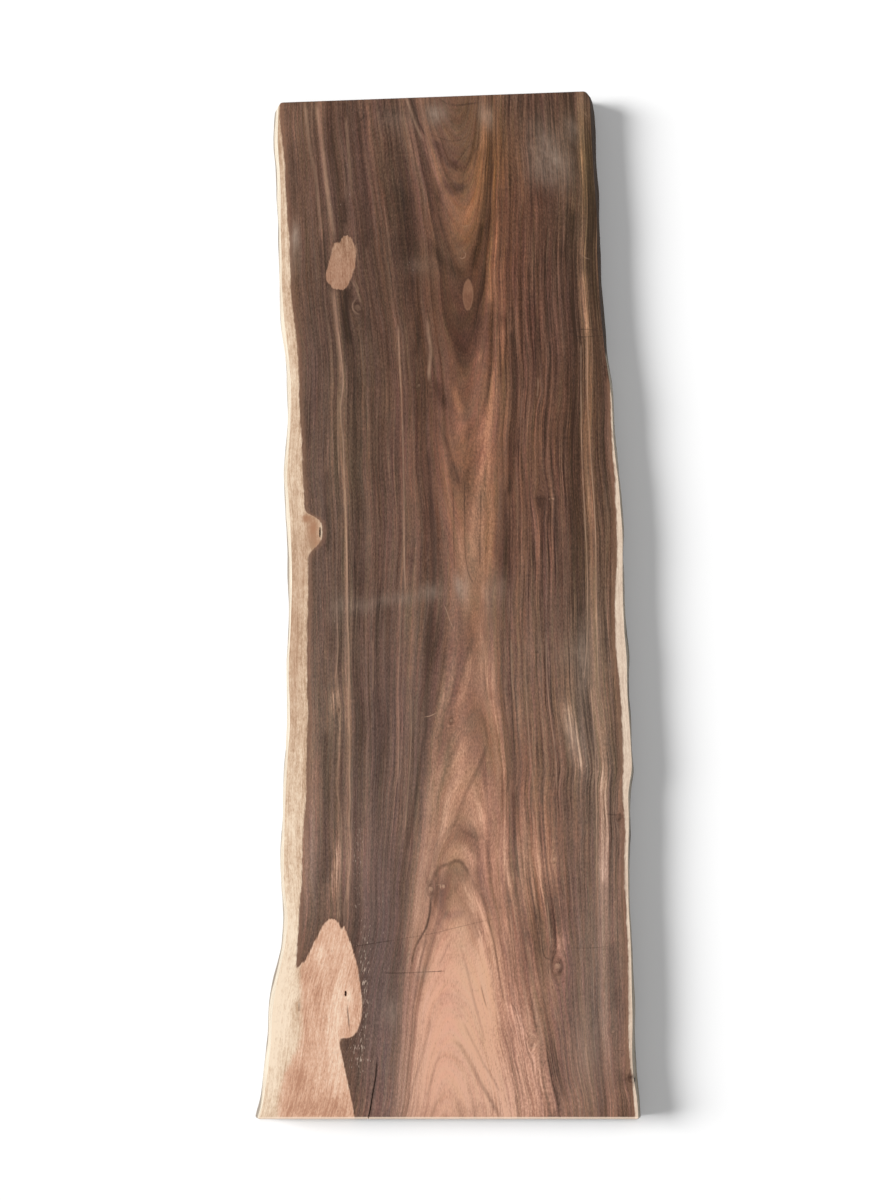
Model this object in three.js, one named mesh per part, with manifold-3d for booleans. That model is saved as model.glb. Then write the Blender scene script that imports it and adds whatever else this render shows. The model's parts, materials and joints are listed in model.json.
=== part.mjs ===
// A live-edge hardwood slab: one thick board sawn lengthwise out of a log, lying on its back face.
// Its two broad faces are sawn flat and sanded, its two ends are cross-cut, and its long edges are
// the log's own outside with the bark taken off. Millimetres, +Z up, +Y from butt end to top end,
// +X to the right as seen from above. The origin is under the middle of the slab, on its back face.
import * as THREE from "three";
import { mergeVertices } from "three/addons/utils/BufferGeometryUtils.js";
import Module from "manifold-3d";

// Driving dimensions
const length = 2200;
const thickness = 60;
const buttY = -length / 2;
const topY = length / 2;
const topCutSlant = 25.4; // the top end is cross-cut out of square: its left corner is this much lower
const arris = 2.5; // the ends' edges are eased by this much
const widestDepth = 0.62; // the live edges stand out most at this share of the thickness
const cornerLeft = { across: 11, along: 14 };
const cornerRight = { across: 15, along: 30 };

// Where the live edges stand out most, from butt to top: [y, x]
const leftWidest = [
  [-1100, -397.5], [-1072, -390], [-1030, -384], [-994, -380.5], [-945, -376.5], [-884, -375],
  [-832, -367.5], [-783, -355.5], [-745, -347], [-690, -342.5], [-619, -349], [-552, -351],
  [-440, -348.5], [-370, -346], [-280, -340.5], [-166, -344], [-29, -341], [57, -342],
  [126, -345], [187, -350], [252, -355], [310, -352.5], [371, -348], [433, -346.5],
  [477, -349], [539, -356], [584, -363], [640, -368.5], [764, -372], [873, -375.5],
  [946, -380.5], [1019, -386], [1100, -384.5],
];
const rightWidest = [
  [-1100, 397], [-1058, 395.5], [-1018, 391.5], [-966, 388], [-880, 387], [-750, 384.5],
  [-652, 381.5], [-586, 382.5], [-515, 385.5], [-440, 386.5], [-415, 389.5], [-386, 393.5],
  [-340, 391.5], [-285, 388.5], [-221, 385], [-149, 384], [-89, 380.5], [-29, 378],
  [60, 378], [117, 378.5], [170, 375], [222, 371.5], [274, 368], [336, 364], [390, 363],
  [424, 361.5], [477, 355], [531, 346.5], [584, 341], [640, 336.5], [720, 333.5],
  [800, 334], [836, 333], [909, 329.5], [983, 325.5], [1056, 322], [1100, 320],
];
// How far the front face's edge lies inside the widest line: [y, inset]
const leftFaceInset = [
  [-1100, 9], [-1000, 11], [-880, 13], [-740, 9], [-560, 8], [-300, 7], [-60, 8],
  [250, 10], [440, 7], [600, 10], [800, 8], [960, 12], [1100, 11],
];
const rightFaceInset = [
  [-1100, 8], [-1020, 9], [-900, 6], [-640, 5], [-420, 6], [-380, 10], [-250, 6], [100, 5],
  [330, 7], [480, 9], [620, 7], [820, 9], [950, 10], [1100, 9],
];
// How far the back face's edge lies inside the widest line: [y, inset]
const leftBackInset = [[-1100, 4], [-760, 8], [-300, 5], [200, 9], [560, 6], [1100, 7]];
const rightBackInset = [[-1100, 5], [-600, 9], [-200, 6], [300, 10], [700, 6], [1100, 5]];

// A smooth curve through [y, value] pairs, read at any y
function along(stations, y) {
  const last = stations.length - 1;
  let i = 0;
  while (i < last - 1 && y > stations[i + 1][0]) i += 1;
  const slope = (k) => {
    const a = stations[Math.max(k - 1, 0)];
    const b = stations[Math.min(k + 1, last)];
    return (b[1] - a[1]) / (b[0] - a[0]);
  };
  const [y0, v0] = stations[i];
  const [y1, v1] = stations[i + 1];
  const h = y1 - y0;
  const t = Math.min(Math.max((y - y0) / h, 0), 1);
  const rise = t * t * (3 - 2 * t);
  return v0 + (v1 - v0) * rise
    + h * t * (1 - t) * ((1 - t) * slope(i) - t * slope(i + 1));
}

// The log's skin is fluted: shallow swells that run with the trunk and wander across the thickness
function fluting(y, depth, side) {
  const phase = side * 1.7;
  return 1.1 * Math.sin(y / 61 + 3.1 * depth + phase)
    + 0.7 * Math.sin(y / 23 - 4.3 * depth + 2 * phase)
    + 0.8 * Math.sin(y / 143 + 7.9 * depth - phase);
}

// A rounded corner at the top end draws the edge in by this much
function cornerDraw(y, corner) {
  const into = Math.max(corner.along - (topY - y), 0) / corner.along;
  return corner.across * (1 - Math.sqrt(Math.max(1 - into * into, 0)));
}

// x of the live edge at a share of the thickness, 0 at the front face and 1 at the back face
function liveEdge(side, y, depth) {
  const widest = along(side < 0 ? leftWidest : rightWidest, y);
  const faceInset = along(side < 0 ? leftFaceInset : rightFaceInset, y);
  const backInset = along(side < 0 ? leftBackInset : rightBackInset, y);
  const above = Math.max(1 - depth / widestDepth, 0);
  const below = Math.max((depth - widestDepth) / (1 - widestDepth), 0);
  const inset = faceInset * above ** 1.5 + backInset * below ** 2;
  const swell = fluting(y, depth, side) * Math.sin(Math.PI * (0.12 + 0.76 * depth));
  const corner = side < 0 ? cornerLeft : cornerRight;
  return widest + side * (swell - inset - cornerDraw(y, corner));
}

// The cross-section at a share of the length: a closed loop of points, front face first
const depths = [0, 0.08, 0.22, 0.38, 0.54, 0.7, 0.86, 1];
function section(share, endEase) {
  const loop = [];
  const place = (side, depth) => {
    const edgeTop = side < 0 ? topY - topCutSlant : topY;
    const curveY = buttY + share * (topY - buttY);
    const y = buttY + share * (edgeTop - buttY);
    const eased = endEase * (0.5 - depth) * 2;
    const z = thickness * (1 - depth) - eased;
    return new THREE.Vector3(liveEdge(side, curveY, depth) - side * endEase, y, z);
  };
  for (const depth of depths) loop.push(place(1, depth));
  for (const depth of [...depths].reverse()) loop.push(place(-1, depth));
  return loop;
}

// Shares of the length where sections stand: even steps, closer together round the top corners
function stations() {
  const shares = [];
  const steps = 150;
  const cornerStart = 1 - cornerRight.along / length;
  for (let i = 0; i <= steps; i += 1) {
    shares.push((arris / length) + (i / steps) * (cornerStart - arris / length));
  }
  const cornerSteps = 6;
  const cornerEnd = 1 - arris / length;
  for (let i = 1; i <= cornerSteps; i += 1) {
    const turn = Math.sin((Math.PI / 2) * (i / cornerSteps));
    shares.push(cornerStart + turn * (cornerEnd - cornerStart));
  }
  return shares;
}

// The slab as sawn: sections joined by a skin, with the two eased ends closed by flat caps
function sawnSlab() {
  const loops = [section(0, arris), ...stations().map((share) => section(share, 0)), section(1, arris)];
  const around = loops[0].length;
  const positions = loops.flat().flatMap((p) => [p.x, p.y, p.z]);
  const index = [];
  for (let i = 0; i < loops.length - 1; i += 1) {
    for (let k = 0; k < around; k += 1) {
      const a = i * around + k;
      const b = i * around + (k + 1) % around;
      index.push(a, b, a + around, b, b + around, a + around);
    }
  }
  const lastLoop = (loops.length - 1) * around;
  for (let k = 0; k < around / 2 - 1; k += 1) {
    const left = around - 1 - k;
    index.push(k, left, k + 1, k + 1, left, left - 1);
    index.push(lastLoop + k, lastLoop + k + 1, lastLoop + left);
    index.push(lastLoop + k + 1, lastLoop + left - 1, lastLoop + left);
  }
  const geometry = new THREE.BufferGeometry();
  geometry.setAttribute("position", new THREE.Float32BufferAttribute(positions, 3));
  geometry.setIndex(index);
  return geometry;
}

// The drying check at the butt end: a thin wedge that tapers out up the face: [y, x]
const checkLine = [[-1104, -164.5], [-1072, -158], [-1040, -152.5], [-1012, -148], [-984, -146]];
const checkMouth = 2.8;
const checkDepth = 44;
function dryingCheck() {
  const right = checkLine.map(([y, x], i) => {
    const share = 1 - i / (checkLine.length - 1);
    return new THREE.Vector2(x + (checkMouth / 2) * share, y);
  });
  const left = checkLine.slice(0, -1).map(([y, x], i) => {
    const share = 1 - i / (checkLine.length - 1);
    return new THREE.Vector2(x - (checkMouth / 2) * share, y);
  });
  const outline = new THREE.Shape([...right, ...left.reverse()]);
  const geometry = new THREE.ExtrudeGeometry(outline, { depth: checkDepth + 4, bevelEnabled: false });
  return geometry.translate(0, 0, thickness - checkDepth);
}

// Open knots in the face and at the live edges: lens-shaped hollows along the grain
const hollows = [
  { name: "edge knot", x: 390, y: -1021, z: thickness - 2, across: 10, along: 8, deep: 13 },
  { name: "small edge knot", x: 391, y: -486, z: thickness - 6, across: 7, along: 7, deep: 9 },
  { name: "pin knot in the light patch", x: -211.5, y: -848, z: thickness, across: 2.6, along: 6, deep: 7 },
  { name: "slit knot by the left edge", x: -273, y: 116, z: thickness, across: 1.8, along: 12, deep: 7 },
];
function hollow({ x, y, z, across, along: run, deep }) {
  const geometry = new THREE.SphereGeometry(1, 16, 10);
  return geometry.scale(across, run, deep).translate(x, y, z);
}

// Boolean cuts
const wasm = await Module();
wasm.setup();
function toSolid(geometry) {
  const bare = geometry.clone();
  bare.deleteAttribute("normal");
  bare.deleteAttribute("uv");
  const merged = mergeVertices(bare, 1e-4);
  return new wasm.Manifold(new wasm.Mesh({
    numProp: 3,
    vertProperties: merged.attributes.position.array,
    triVerts: new Uint32Array(merged.index.array),
  }));
}
function toGeometry(solid) {
  const mesh = solid.getMesh();
  const geometry = new THREE.BufferGeometry();
  geometry.setAttribute("position", new THREE.BufferAttribute(mesh.vertProperties, 3));
  geometry.setIndex(new THREE.BufferAttribute(mesh.triVerts, 1));
  geometry.computeVertexNormals();
  return geometry;
}
let slabSolid = toSolid(sawnSlab());
for (const cutter of [dryingCheck(), ...hollows.map(hollow)]) {
  slabSolid = slabSolid.subtract(toSolid(cutter));
}

const heartwood = new THREE.MeshStandardMaterial({ color: 0x6b4f40, roughness: 0.6, metalness: 0 });
const slab = new THREE.Mesh(toGeometry(slabSolid), heartwood);
slab.name = "slab";

// The origin goes under the middle of the slab
slab.geometry.computeBoundingBox();
const middle = slab.geometry.boundingBox.getCenter(new THREE.Vector3());
slab.position.set(-middle.x, -middle.y, 0);

const group = new THREE.Group();
group.add(slab);
export default group;
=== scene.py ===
# %% [markdown]
# # A live-edge hardwood slab
#
# The slab is one thick board sawn lengthwise out of a log. Its two broad faces are flat and sanded,
# its ends are cross-cut, and its long edges are the log's own outside with the bark taken off.
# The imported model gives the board's place and size. This lesson builds the same board as one dense
# mesh, works out how the tree's growth rings run through it, and lets the shader draw the wood from
# that, so the front, the back, the edges and the ends all show the same rings.

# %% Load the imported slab
import json
import math

import bpy
import bmesh
import numpy as np
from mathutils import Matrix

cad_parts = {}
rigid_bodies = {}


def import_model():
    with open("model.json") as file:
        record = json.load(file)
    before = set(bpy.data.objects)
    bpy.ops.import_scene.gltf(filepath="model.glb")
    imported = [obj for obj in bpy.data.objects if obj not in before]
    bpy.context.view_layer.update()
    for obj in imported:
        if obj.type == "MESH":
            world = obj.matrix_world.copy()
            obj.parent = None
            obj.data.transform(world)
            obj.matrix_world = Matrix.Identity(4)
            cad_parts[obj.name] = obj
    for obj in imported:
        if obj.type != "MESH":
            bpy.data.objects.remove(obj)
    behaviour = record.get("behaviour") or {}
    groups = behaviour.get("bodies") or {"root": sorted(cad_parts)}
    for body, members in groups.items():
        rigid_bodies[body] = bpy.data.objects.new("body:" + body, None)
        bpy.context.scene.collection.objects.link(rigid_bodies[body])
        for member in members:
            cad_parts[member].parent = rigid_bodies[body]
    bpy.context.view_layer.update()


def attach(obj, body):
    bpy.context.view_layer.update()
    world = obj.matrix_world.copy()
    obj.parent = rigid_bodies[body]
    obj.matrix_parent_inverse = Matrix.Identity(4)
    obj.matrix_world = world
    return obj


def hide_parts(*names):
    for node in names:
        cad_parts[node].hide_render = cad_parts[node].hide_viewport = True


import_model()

# %% [markdown]
# ## The camera
#
# The board lies on the floor and the camera looks down on it, leaning a little towards the top end,
# as in the photograph. Placing the camera first pays off: the same numbers turn a point of the
# picture into a point of the board's face, so knots and patches can be noted where they are seen.

# %% Camera over the board
MM = 0.001
THICKNESS = 60.0
LENS = 59.26
SENSOR = 36.0
PICTURE_WIDE, PICTURE_HIGH = 896, 1200
LEAN = math.radians(8.0)
CAMERA_DISTANCE = 4183.0
SIGHT_Y = -29.3

camera_data = bpy.data.cameras.new("camera")
camera_data.lens = LENS
camera_data.sensor_width = SENSOR
camera = bpy.data.objects.new("camera", camera_data)
camera.location = (
    0.0,
    (SIGHT_Y - CAMERA_DISTANCE * math.sin(LEAN)) * MM,
    (THICKNESS + CAMERA_DISTANCE * math.cos(LEAN)) * MM,
)
camera.rotation_euler = (LEAN, 0.0, 0.0)
bpy.context.scene.collection.objects.link(camera)
bpy.context.scene.camera = camera
print("camera height above the floor:", round(camera.location.z, 3), "m")

# %% From the picture to the face
FOCAL = LENS / SENSOR * PICTURE_HIGH


def on_face(px, py):
    """Where a point of the picture, in pixels, lies on the front face, in millimetres."""
    px, py = np.asarray(px, float), np.asarray(py, float)
    up = PICTURE_HIGH / 2 - py
    run = up * CAMERA_DISTANCE / (FOCAL * math.cos(LEAN) - up * math.sin(LEAN))
    reach = CAMERA_DISTANCE + run * math.sin(LEAN)
    return (px - PICTURE_WIDE / 2) * reach / FOCAL, run + SIGHT_Y


def height(py):
    """How far up the board a picture row lies, in millimetres."""
    return on_face(0, py)[1]


middle_x, middle_y = PICTURE_WIDE / 2, PICTURE_HIGH / 2
PIXEL = float(on_face(middle_x + 1, middle_y)[0] - on_face(middle_x, middle_y)[0])
print("one pixel is about", round(PIXEL, 2), "mm of the face")

# %% [markdown]
# ## The shape of the board
#
# A board like this is best described by stations along its length. At each station the tables say
# how far the live edges stand out, and how far the two faces' edges lie inside that. Smooth curves
# through the stations give every section, and the sections are joined by a skin. The numbers are
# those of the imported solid, except that the right live edge runs up to 5 mm further in.

# %% Sizes and stations
BUTT_Y, TOP_Y = -1100.0, 1100.0
TOP_CUT_SLANT = 25.4
ARRIS = 2.5  # how far the edges of the ends are eased
WIDEST_DEPTH = 0.62  # the share of the thickness at which the live edges stand out most
CORNER_ACROSS = {-1: 11.0, 1: 15.0}
CORNER_ALONG = {-1: 14.0, 1: 30.0}
CENTRING = 0.694  # brings the middle of the outline to x = 0
FLUTES = [
    # height in mm, length of a wave over 2 pi, turn across the thickness, turn from side to side
    (1.1, 61, 3.1, 1), (0.7, 23, -4.3, 2), (0.8, 143, 7.9, -1),
]
SIDE_TURN = 1.7

WIDEST = {
    -1: [
        (-1100, -397.5), (-1072, -390), (-1030, -384), (-994, -380.5), (-945, -376.5),
        (-884, -375), (-832, -367.5), (-783, -355.5), (-745, -347), (-690, -342.5), (-619, -349),
        (-552, -351), (-440, -348.5), (-370, -346), (-280, -340.5), (-166, -344), (-29, -341),
        (57, -342), (126, -345), (187, -350), (252, -355), (310, -352.5), (371, -348),
        (433, -346.5), (477, -349), (539, -356), (584, -363), (640, -368.5), (764, -372),
        (873, -375.5), (946, -380.5), (1019, -386), (1100, -384.5),
    ],
    1: [
        (-1100, 397), (-1058, 395), (-1018, 390), (-966, 386.5), (-880, 385.5), (-750, 382.5),
        (-652, 379.5), (-586, 379.5), (-515, 382), (-440, 382), (-415, 385.5), (-386, 391),
        (-340, 389.5), (-285, 387), (-221, 383.5), (-149, 382.5), (-89, 378), (-29, 375.5),
        (60, 376), (117, 376.5), (170, 374), (222, 370.5), (274, 365), (336, 360.5), (390, 359.5),
        (424, 358), (477, 352), (531, 344.5), (584, 339), (640, 335), (720, 332), (800, 333),
        (836, 332), (909, 329), (983, 325), (1056, 322), (1100, 320),
    ],
}
FACE_INSET = {
    -1: [
        (-1100, 9), (-1000, 11), (-880, 13), (-740, 9), (-560, 8), (-300, 7), (-60, 8),
        (250, 10), (440, 7), (600, 10), (800, 8), (960, 12), (1100, 11),
    ],
    1: [
        (-1100, 8), (-1020, 9), (-900, 6), (-640, 5), (-420, 6), (-380, 7), (-250, 6), (100, 5),
        (330, 7), (480, 9), (620, 7), (820, 9), (950, 10), (1100, 9),
    ],
}
BACK_INSET = {
    -1: [(-1100, 4), (-760, 8), (-300, 5), (200, 9), (560, 6), (1100, 7)],
    1: [(-1100, 5), (-600, 9), (-200, 6), (300, 10), (700, 6), (1100, 5)],
}


def along(stations, y):
    """A smooth curve through (y, value) pairs, read at any y."""
    table = np.array(stations, float)
    knots, values = table[:, 0], table[:, 1]
    slopes = np.empty(len(knots))
    slopes[1:-1] = (values[2:] - values[:-2]) / (knots[2:] - knots[:-2])
    slopes[0] = (values[1] - values[0]) / (knots[1] - knots[0])
    slopes[-1] = (values[-1] - values[-2]) / (knots[-1] - knots[-2])
    i = np.clip(np.searchsorted(knots, y, side="left") - 1, 0, len(knots) - 2)
    gap = knots[i + 1] - knots[i]
    t = np.clip((y - knots[i]) / gap, 0, 1)
    rise = t * t * (3 - 2 * t)
    bend = gap * t * (1 - t) * ((1 - t) * slopes[i] - t * slopes[i + 1])
    return values[i] + (values[i + 1] - values[i]) * rise + bend


def widest(side, y):
    """x of the outermost line of a live edge."""
    return along(WIDEST[side], y) + CENTRING


def live_edge(side, y, depth):
    """x of a live edge at a share of the thickness, 0 at the front face and 1 at the back."""
    phase = side * SIDE_TURN
    flutes = sum(
        high * np.sin(y / wave + turn * depth + change * phase) for high, wave, turn, change in FLUTES
    )
    above = np.maximum(1 - depth / WIDEST_DEPTH, 0)
    below = np.maximum((depth - WIDEST_DEPTH) / (1 - WIDEST_DEPTH), 0)
    inset = along(FACE_INSET[side], y) * above**1.5 + along(BACK_INSET[side], y) * below**2
    into = np.maximum(1 - (TOP_Y - y) / CORNER_ALONG[side], 0)
    corner = CORNER_ACROSS[side] * (1 - np.sqrt(np.maximum(1 - into**2, 0)))
    swell = flutes * np.sin(np.pi * (0.12 + 0.76 * depth))
    return widest(side, y) + side * (swell - inset - corner)


mid_width = float(live_edge(1, 0.0, 0.0) - live_edge(-1, 0.0, 0.0))
print("face width at mid length:", round(mid_width, 1), "mm")

# %% [markdown]
# ## One dense skin
#
# The mesh is a grid wrapped round the board: rows along the length, and in each row columns across
# the front face, down the right live edge, back across the back face and up the left edge. Two
# grids close the ends. A grid is chosen over a sculpt because every point then knows its place in
# the board. Rows and columns crowd at the edges, where the sanded corners are rounded.

# %% Rows, columns and edge depths
BODY_ROWS = 318
FACE_COLUMNS = 116
CORNER_EASE = 0.9

ease_turns = np.radians([0.0, 30.0, 60.0])
butt_rows = [(ARRIS * (1 - math.cos(a)), ARRIS * (1 - math.sin(a))) for a in ease_turns]
row_run = [run for run, _ in butt_rows]
row_ease = [ease for _, ease in butt_rows]
row_run += list(np.linspace(ARRIS, TOP_Y - BUTT_Y - ARRIS, BODY_ROWS))
row_ease += [0.0] * BODY_ROWS
row_run += [TOP_Y - BUTT_Y - run for run, _ in reversed(butt_rows)]
row_ease += [ease for _, ease in reversed(butt_rows)]
row_run, row_ease = np.array(row_run), np.array(row_ease)

edge_depth = np.array([0, 0.02, 0.06, 0.13, 0.21, 0.29, 0.37, 0.45, 0.53, 0.61, 0.69, 0.77, 0.85,
                       0.93, 0.98, 1])
face_share = np.concatenate([[0, 0.002], np.linspace(0.007, 0.993, FACE_COLUMNS - 3), [0.998, 1]])
print(len(row_run), "rows,", len(face_share), "columns,", len(edge_depth), "depths")


# %% Place the points
def corner_place(side):
    """x, y and z of one live edge for every row and depth."""
    edge_top = TOP_Y - TOP_CUT_SLANT if side < 0 else TOP_Y
    share = row_run / (TOP_Y - BUTT_Y)
    curve_y = (BUTT_Y + row_run)[:, None] + 0 * edge_depth
    depth = edge_depth[None, :] + 0 * curve_y
    soft = CORNER_EASE * (np.exp(-depth * THICKNESS) + np.exp(-(1 - depth) * THICKNESS))
    x = live_edge(side, curve_y, depth) - side * (row_ease[:, None] + soft)
    y = (BUTT_Y + share * (edge_top - BUTT_Y))[:, None] + 0 * depth
    z = THICKNESS * (1 - depth) - row_ease[:, None] * (1 - 2 * depth)
    return np.stack([x, y, z], -1)


left_skin, right_skin = corner_place(-1), corner_place(1)
blend = face_share[None, :, None]
front = left_skin[:, :1] * (1 - blend) + right_skin[:, :1] * blend
back = left_skin[:, -1:] * (1 - blend) + right_skin[:, -1:] * blend
loops = np.concatenate(
    [front, right_skin[:, 1:], back[:, ::-1][:, 1:], left_skin[:, ::-1][:, 1:-1]], axis=1
)
ROWS, AROUND = loops.shape[:2]
print("points round the board:", AROUND)

# %% Join them into a closed skin
points = [loops.reshape(-1, 3)]
quads = []
for row in range(ROWS - 1):
    start = row * AROUND
    for k in range(AROUND):
        a, b = start + k, start + (k + 1) % AROUND
        quads.append((a, b, b + AROUND, a + AROUND))

COLUMNS, DEPTHS = len(face_share), len(edge_depth)


def cap_index(row, column, level, inner_start):
    """The point of an end grid: on the rim it is the loop's own, inside it is a new one."""
    start = row * AROUND
    if level == 0:
        return start + column
    if level == DEPTHS - 1:
        return start + COLUMNS + DEPTHS - 2 + (COLUMNS - 1 - column)
    if column == COLUMNS - 1:
        return start + COLUMNS + level - 1
    if column == 0:
        return start + AROUND - level
    return inner_start + (level - 1) * (COLUMNS - 2) + column - 1


inner_start = ROWS * AROUND
for row in (0, ROWS - 1):
    share = face_share[None, 1:-1, None]
    inner = left_skin[row, 1:-1, None] * (1 - share) + right_skin[row, 1:-1, None] * share
    points.append(inner.reshape(-1, 3))
    for level in range(DEPTHS - 1):
        for column in range(COLUMNS - 1):
            a = cap_index(row, column, level, inner_start)
            b = cap_index(row, column + 1, level, inner_start)
            c = cap_index(row, column + 1, level + 1, inner_start)
            d = cap_index(row, column, level + 1, inner_start)
            quads.append((a, d, c, b) if row == 0 else (a, b, c, d))
    inner_start += inner.shape[0] * inner.shape[1]

skin_mesh = bpy.data.meshes.new("slab_skin")
skin_mesh.from_pydata((np.concatenate(points) * MM).tolist(), [], quads)
builder = bmesh.new()
builder.from_mesh(skin_mesh)
bmesh.ops.recalc_face_normals(builder, faces=builder.faces)
builder.to_mesh(skin_mesh)
builder.free()
skin_mesh.validate()
slab = bpy.data.objects.new("slab_skin", skin_mesh)
bpy.context.scene.collection.objects.link(slab)
print("skin:", len(skin_mesh.vertices), "points,", len(skin_mesh.polygons), "faces")

# %% [markdown]
# ## The log's skin
#
# Under its bark a log isn't smooth: fine ridges run with the trunk, with slow lumps between them.
# They follow the surface, so Geometry Nodes make them: a mask says where the live edges are, noise
# that is stretched along the board says how high, and Set Position lifts the skin along its own
# normal. The two faces and the ends are sawn, so the mask keeps them flat.

# %% Mark the live edges
def smooth(low, high, value):
    """0 below low, 1 above high, and an easy curve between."""
    t = np.clip((np.asarray(value, float) - low) / (high - low), 0, 1)
    return t * t * (3 - 2 * t)


def read_points(mesh):
    """Every point of a mesh, in millimetres."""
    flat = np.empty(len(mesh.vertices) * 3)
    mesh.vertices.foreach_get("co", flat)
    return flat.reshape(-1, 3) / MM


def write_field(mesh, name, values):
    """Keeps a number or a vector for each point of a mesh."""
    values = np.asarray(values, np.float32)
    kind, slot = ("FLOAT", "value") if values.ndim == 1 else ("FLOAT_VECTOR", "vector")
    mesh.attributes.new(name, kind, "POINT").data.foreach_set(slot, values.reshape(-1))


grid_x, grid_y, grid_z = read_points(skin_mesh).T
grid_depth = 1 - grid_z / THICKNESS
to_skin = np.minimum(
    np.abs(grid_x - live_edge(-1, grid_y, grid_depth)),
    np.abs(grid_x - live_edge(1, grid_y, grid_depth)),
)
NEAR_SKIN = 4.0
OFF_FACE = 0.3
on_skin = (to_skin < NEAR_SKIN) & (grid_z > OFF_FACE) & (grid_z < THICKNESS - OFF_FACE)
from_faces = smooth(0, 7, grid_z) * smooth(0, 7, THICKNESS - grid_z)
from_ends = smooth(2, 14, grid_y - BUTT_Y) * smooth(2, 14, TOP_Y - TOP_CUT_SLANT - grid_y)
write_field(skin_mesh, "live", on_skin * from_faces * from_ends)
print("points on the live edges:", int(on_skin.sum()))


# %% Ridges that follow the trunk
def add_modifier_input(tree, name, kind, value):
    """A named input of a geometry tree; returns its identifier."""
    socket = tree.interface.new_socket(name, in_out="INPUT", socket_type=kind)
    if value is not None:
        socket.default_value = value
    return socket.identifier


def trunk_ridges():
    """Lifts the skin by stretched noise where the field "live" is above zero."""
    tree = bpy.data.node_groups.new("trunk_ridges", "GeometryNodeTree")
    tree.interface.new_socket("Board", in_out="INPUT", socket_type="NodeSocketGeometry")
    tree.interface.new_socket("Board", in_out="OUTPUT", socket_type="NodeSocketGeometry")
    keys = {
        "ridge": add_modifier_input(tree, "Ridge height", "NodeSocketFloat", 0.001),
        "lump": add_modifier_input(tree, "Lump height", "NodeSocketFloat", 0.001),
        "seed": add_modifier_input(tree, "Seed", "NodeSocketFloat", 0.0),
        "wood": add_modifier_input(tree, "Wood", "NodeSocketMaterial", None),
    }
    nodes, link = tree.nodes, tree.links.new
    way_in, way_out = nodes.new("NodeGroupInput"), nodes.new("NodeGroupOutput")
    live = nodes.new("GeometryNodeInputNamedAttribute")
    live.data_type = "FLOAT"
    live.inputs["Name"].default_value = "live"
    place = nodes.new("GeometryNodeInputPosition").outputs[0]
    normal = nodes.new("GeometryNodeInputNormal").outputs[0]

    def maths(kind, operation, sockets):
        made = nodes.new(kind)
        made.operation = operation
        for name, value in sockets.items():
            if isinstance(value, bpy.types.NodeSocket):
                link(value, made.inputs[name])
            else:
                made.inputs[name].default_value = value
        return made.outputs[0]

    def noise_lift(stretch, detail, amount):
        noise = nodes.new("ShaderNodeTexNoise")
        noise.noise_dimensions = "4D"
        noise.inputs["Scale"].default_value = 1.0
        noise.inputs["Detail"].default_value = detail
        stretched = maths("ShaderNodeVectorMath", "MULTIPLY", {0: place, 1: stretch})
        link(stretched, noise.inputs["Vector"])
        link(way_in.outputs["Seed"], noise.inputs["W"])
        centred = maths("ShaderNodeMath", "SUBTRACT", {0: noise.outputs[0], 1: 0.5})
        return maths("ShaderNodeMath", "MULTIPLY", {0: centred, 1: way_in.outputs[amount]})

    ridges = noise_lift((60.0, 9.0, 95.0), 2.0, "Ridge height")
    lumps = noise_lift((14.0, 14.0, 22.0), 1.0, "Lump height")
    total = maths("ShaderNodeMath", "ADD", {0: ridges, 1: lumps})
    masked = maths("ShaderNodeMath", "MULTIPLY", {0: total, 1: live.outputs[0]})
    lift = nodes.new("GeometryNodeSetPosition")
    link(way_in.outputs["Board"], lift.inputs["Geometry"])
    link(maths("ShaderNodeVectorMath", "SCALE", {0: normal, "Scale": masked}), lift.inputs["Offset"])
    real = nodes.new("GeometryNodeRealizeInstances")
    dress = nodes.new("GeometryNodeSetMaterial")
    link(lift.outputs[0], real.inputs[0])
    link(real.outputs[0], dress.inputs["Geometry"])
    link(way_in.outputs["Wood"], dress.inputs["Material"])
    link(dress.outputs[0], way_out.inputs["Board"])
    return tree, keys


face_wood = bpy.data.materials.new("face_wood")
edge_wood = bpy.data.materials.new("edge_wood")
end_wood = bpy.data.materials.new("end_wood")
RIDGE_HEIGHT = 0.0042
LUMP_HEIGHT = 0.0035
RIDGE_SEED = 3.0
ridge_tree, ridge_keys = trunk_ridges()
ridges = slab.modifiers.new("ridges", "NODES")
ridges.node_group = ridge_tree
ridges[ridge_keys["ridge"]] = RIDGE_HEIGHT
ridges[ridge_keys["lump"]] = LUMP_HEIGHT
ridges[ridge_keys["seed"]] = RIDGE_SEED
ridges[ridge_keys["wood"]] = face_wood
print("ridges up to", RIDGE_HEIGHT, "m before the noise is halved")

# %% [markdown]
# ## What time has opened
#
# The butt end has a drying check, a thin wedge that tapers out up the face, and a few knots have
# lost their centres. They are real hollows, so they are cut from the mesh with a Boolean modifier
# and not painted. Each cutter is a small closed mesh that reaches out past the face.

# %% Cutters
CHECK_LINE = [(-1104, -164.5), (-1072, -158), (-1040, -152.5), (-1012, -148), (-984, -146)]
CHECK_MOUTH = 2.8
CHECK_DEPTH = 44.0
CHECK_LEAN = 10.0
OUT_OF_FACE = 4.0
HOLLOWS = [
    # name, place in mm, and half size across, along and into the board
    ("edge_knot", 390, -1021, THICKNESS - 2, 10, 8, 13),
    ("small_edge_knot", 391, -486, THICKNESS - 6, 7, 7, 9),
    ("patch_pin_knot", -211.5, -848, THICKNESS, 2.6, 6, 7),
    ("slit_knot", -273, 116, THICKNESS, 1.8, 12, 7),
]


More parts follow.
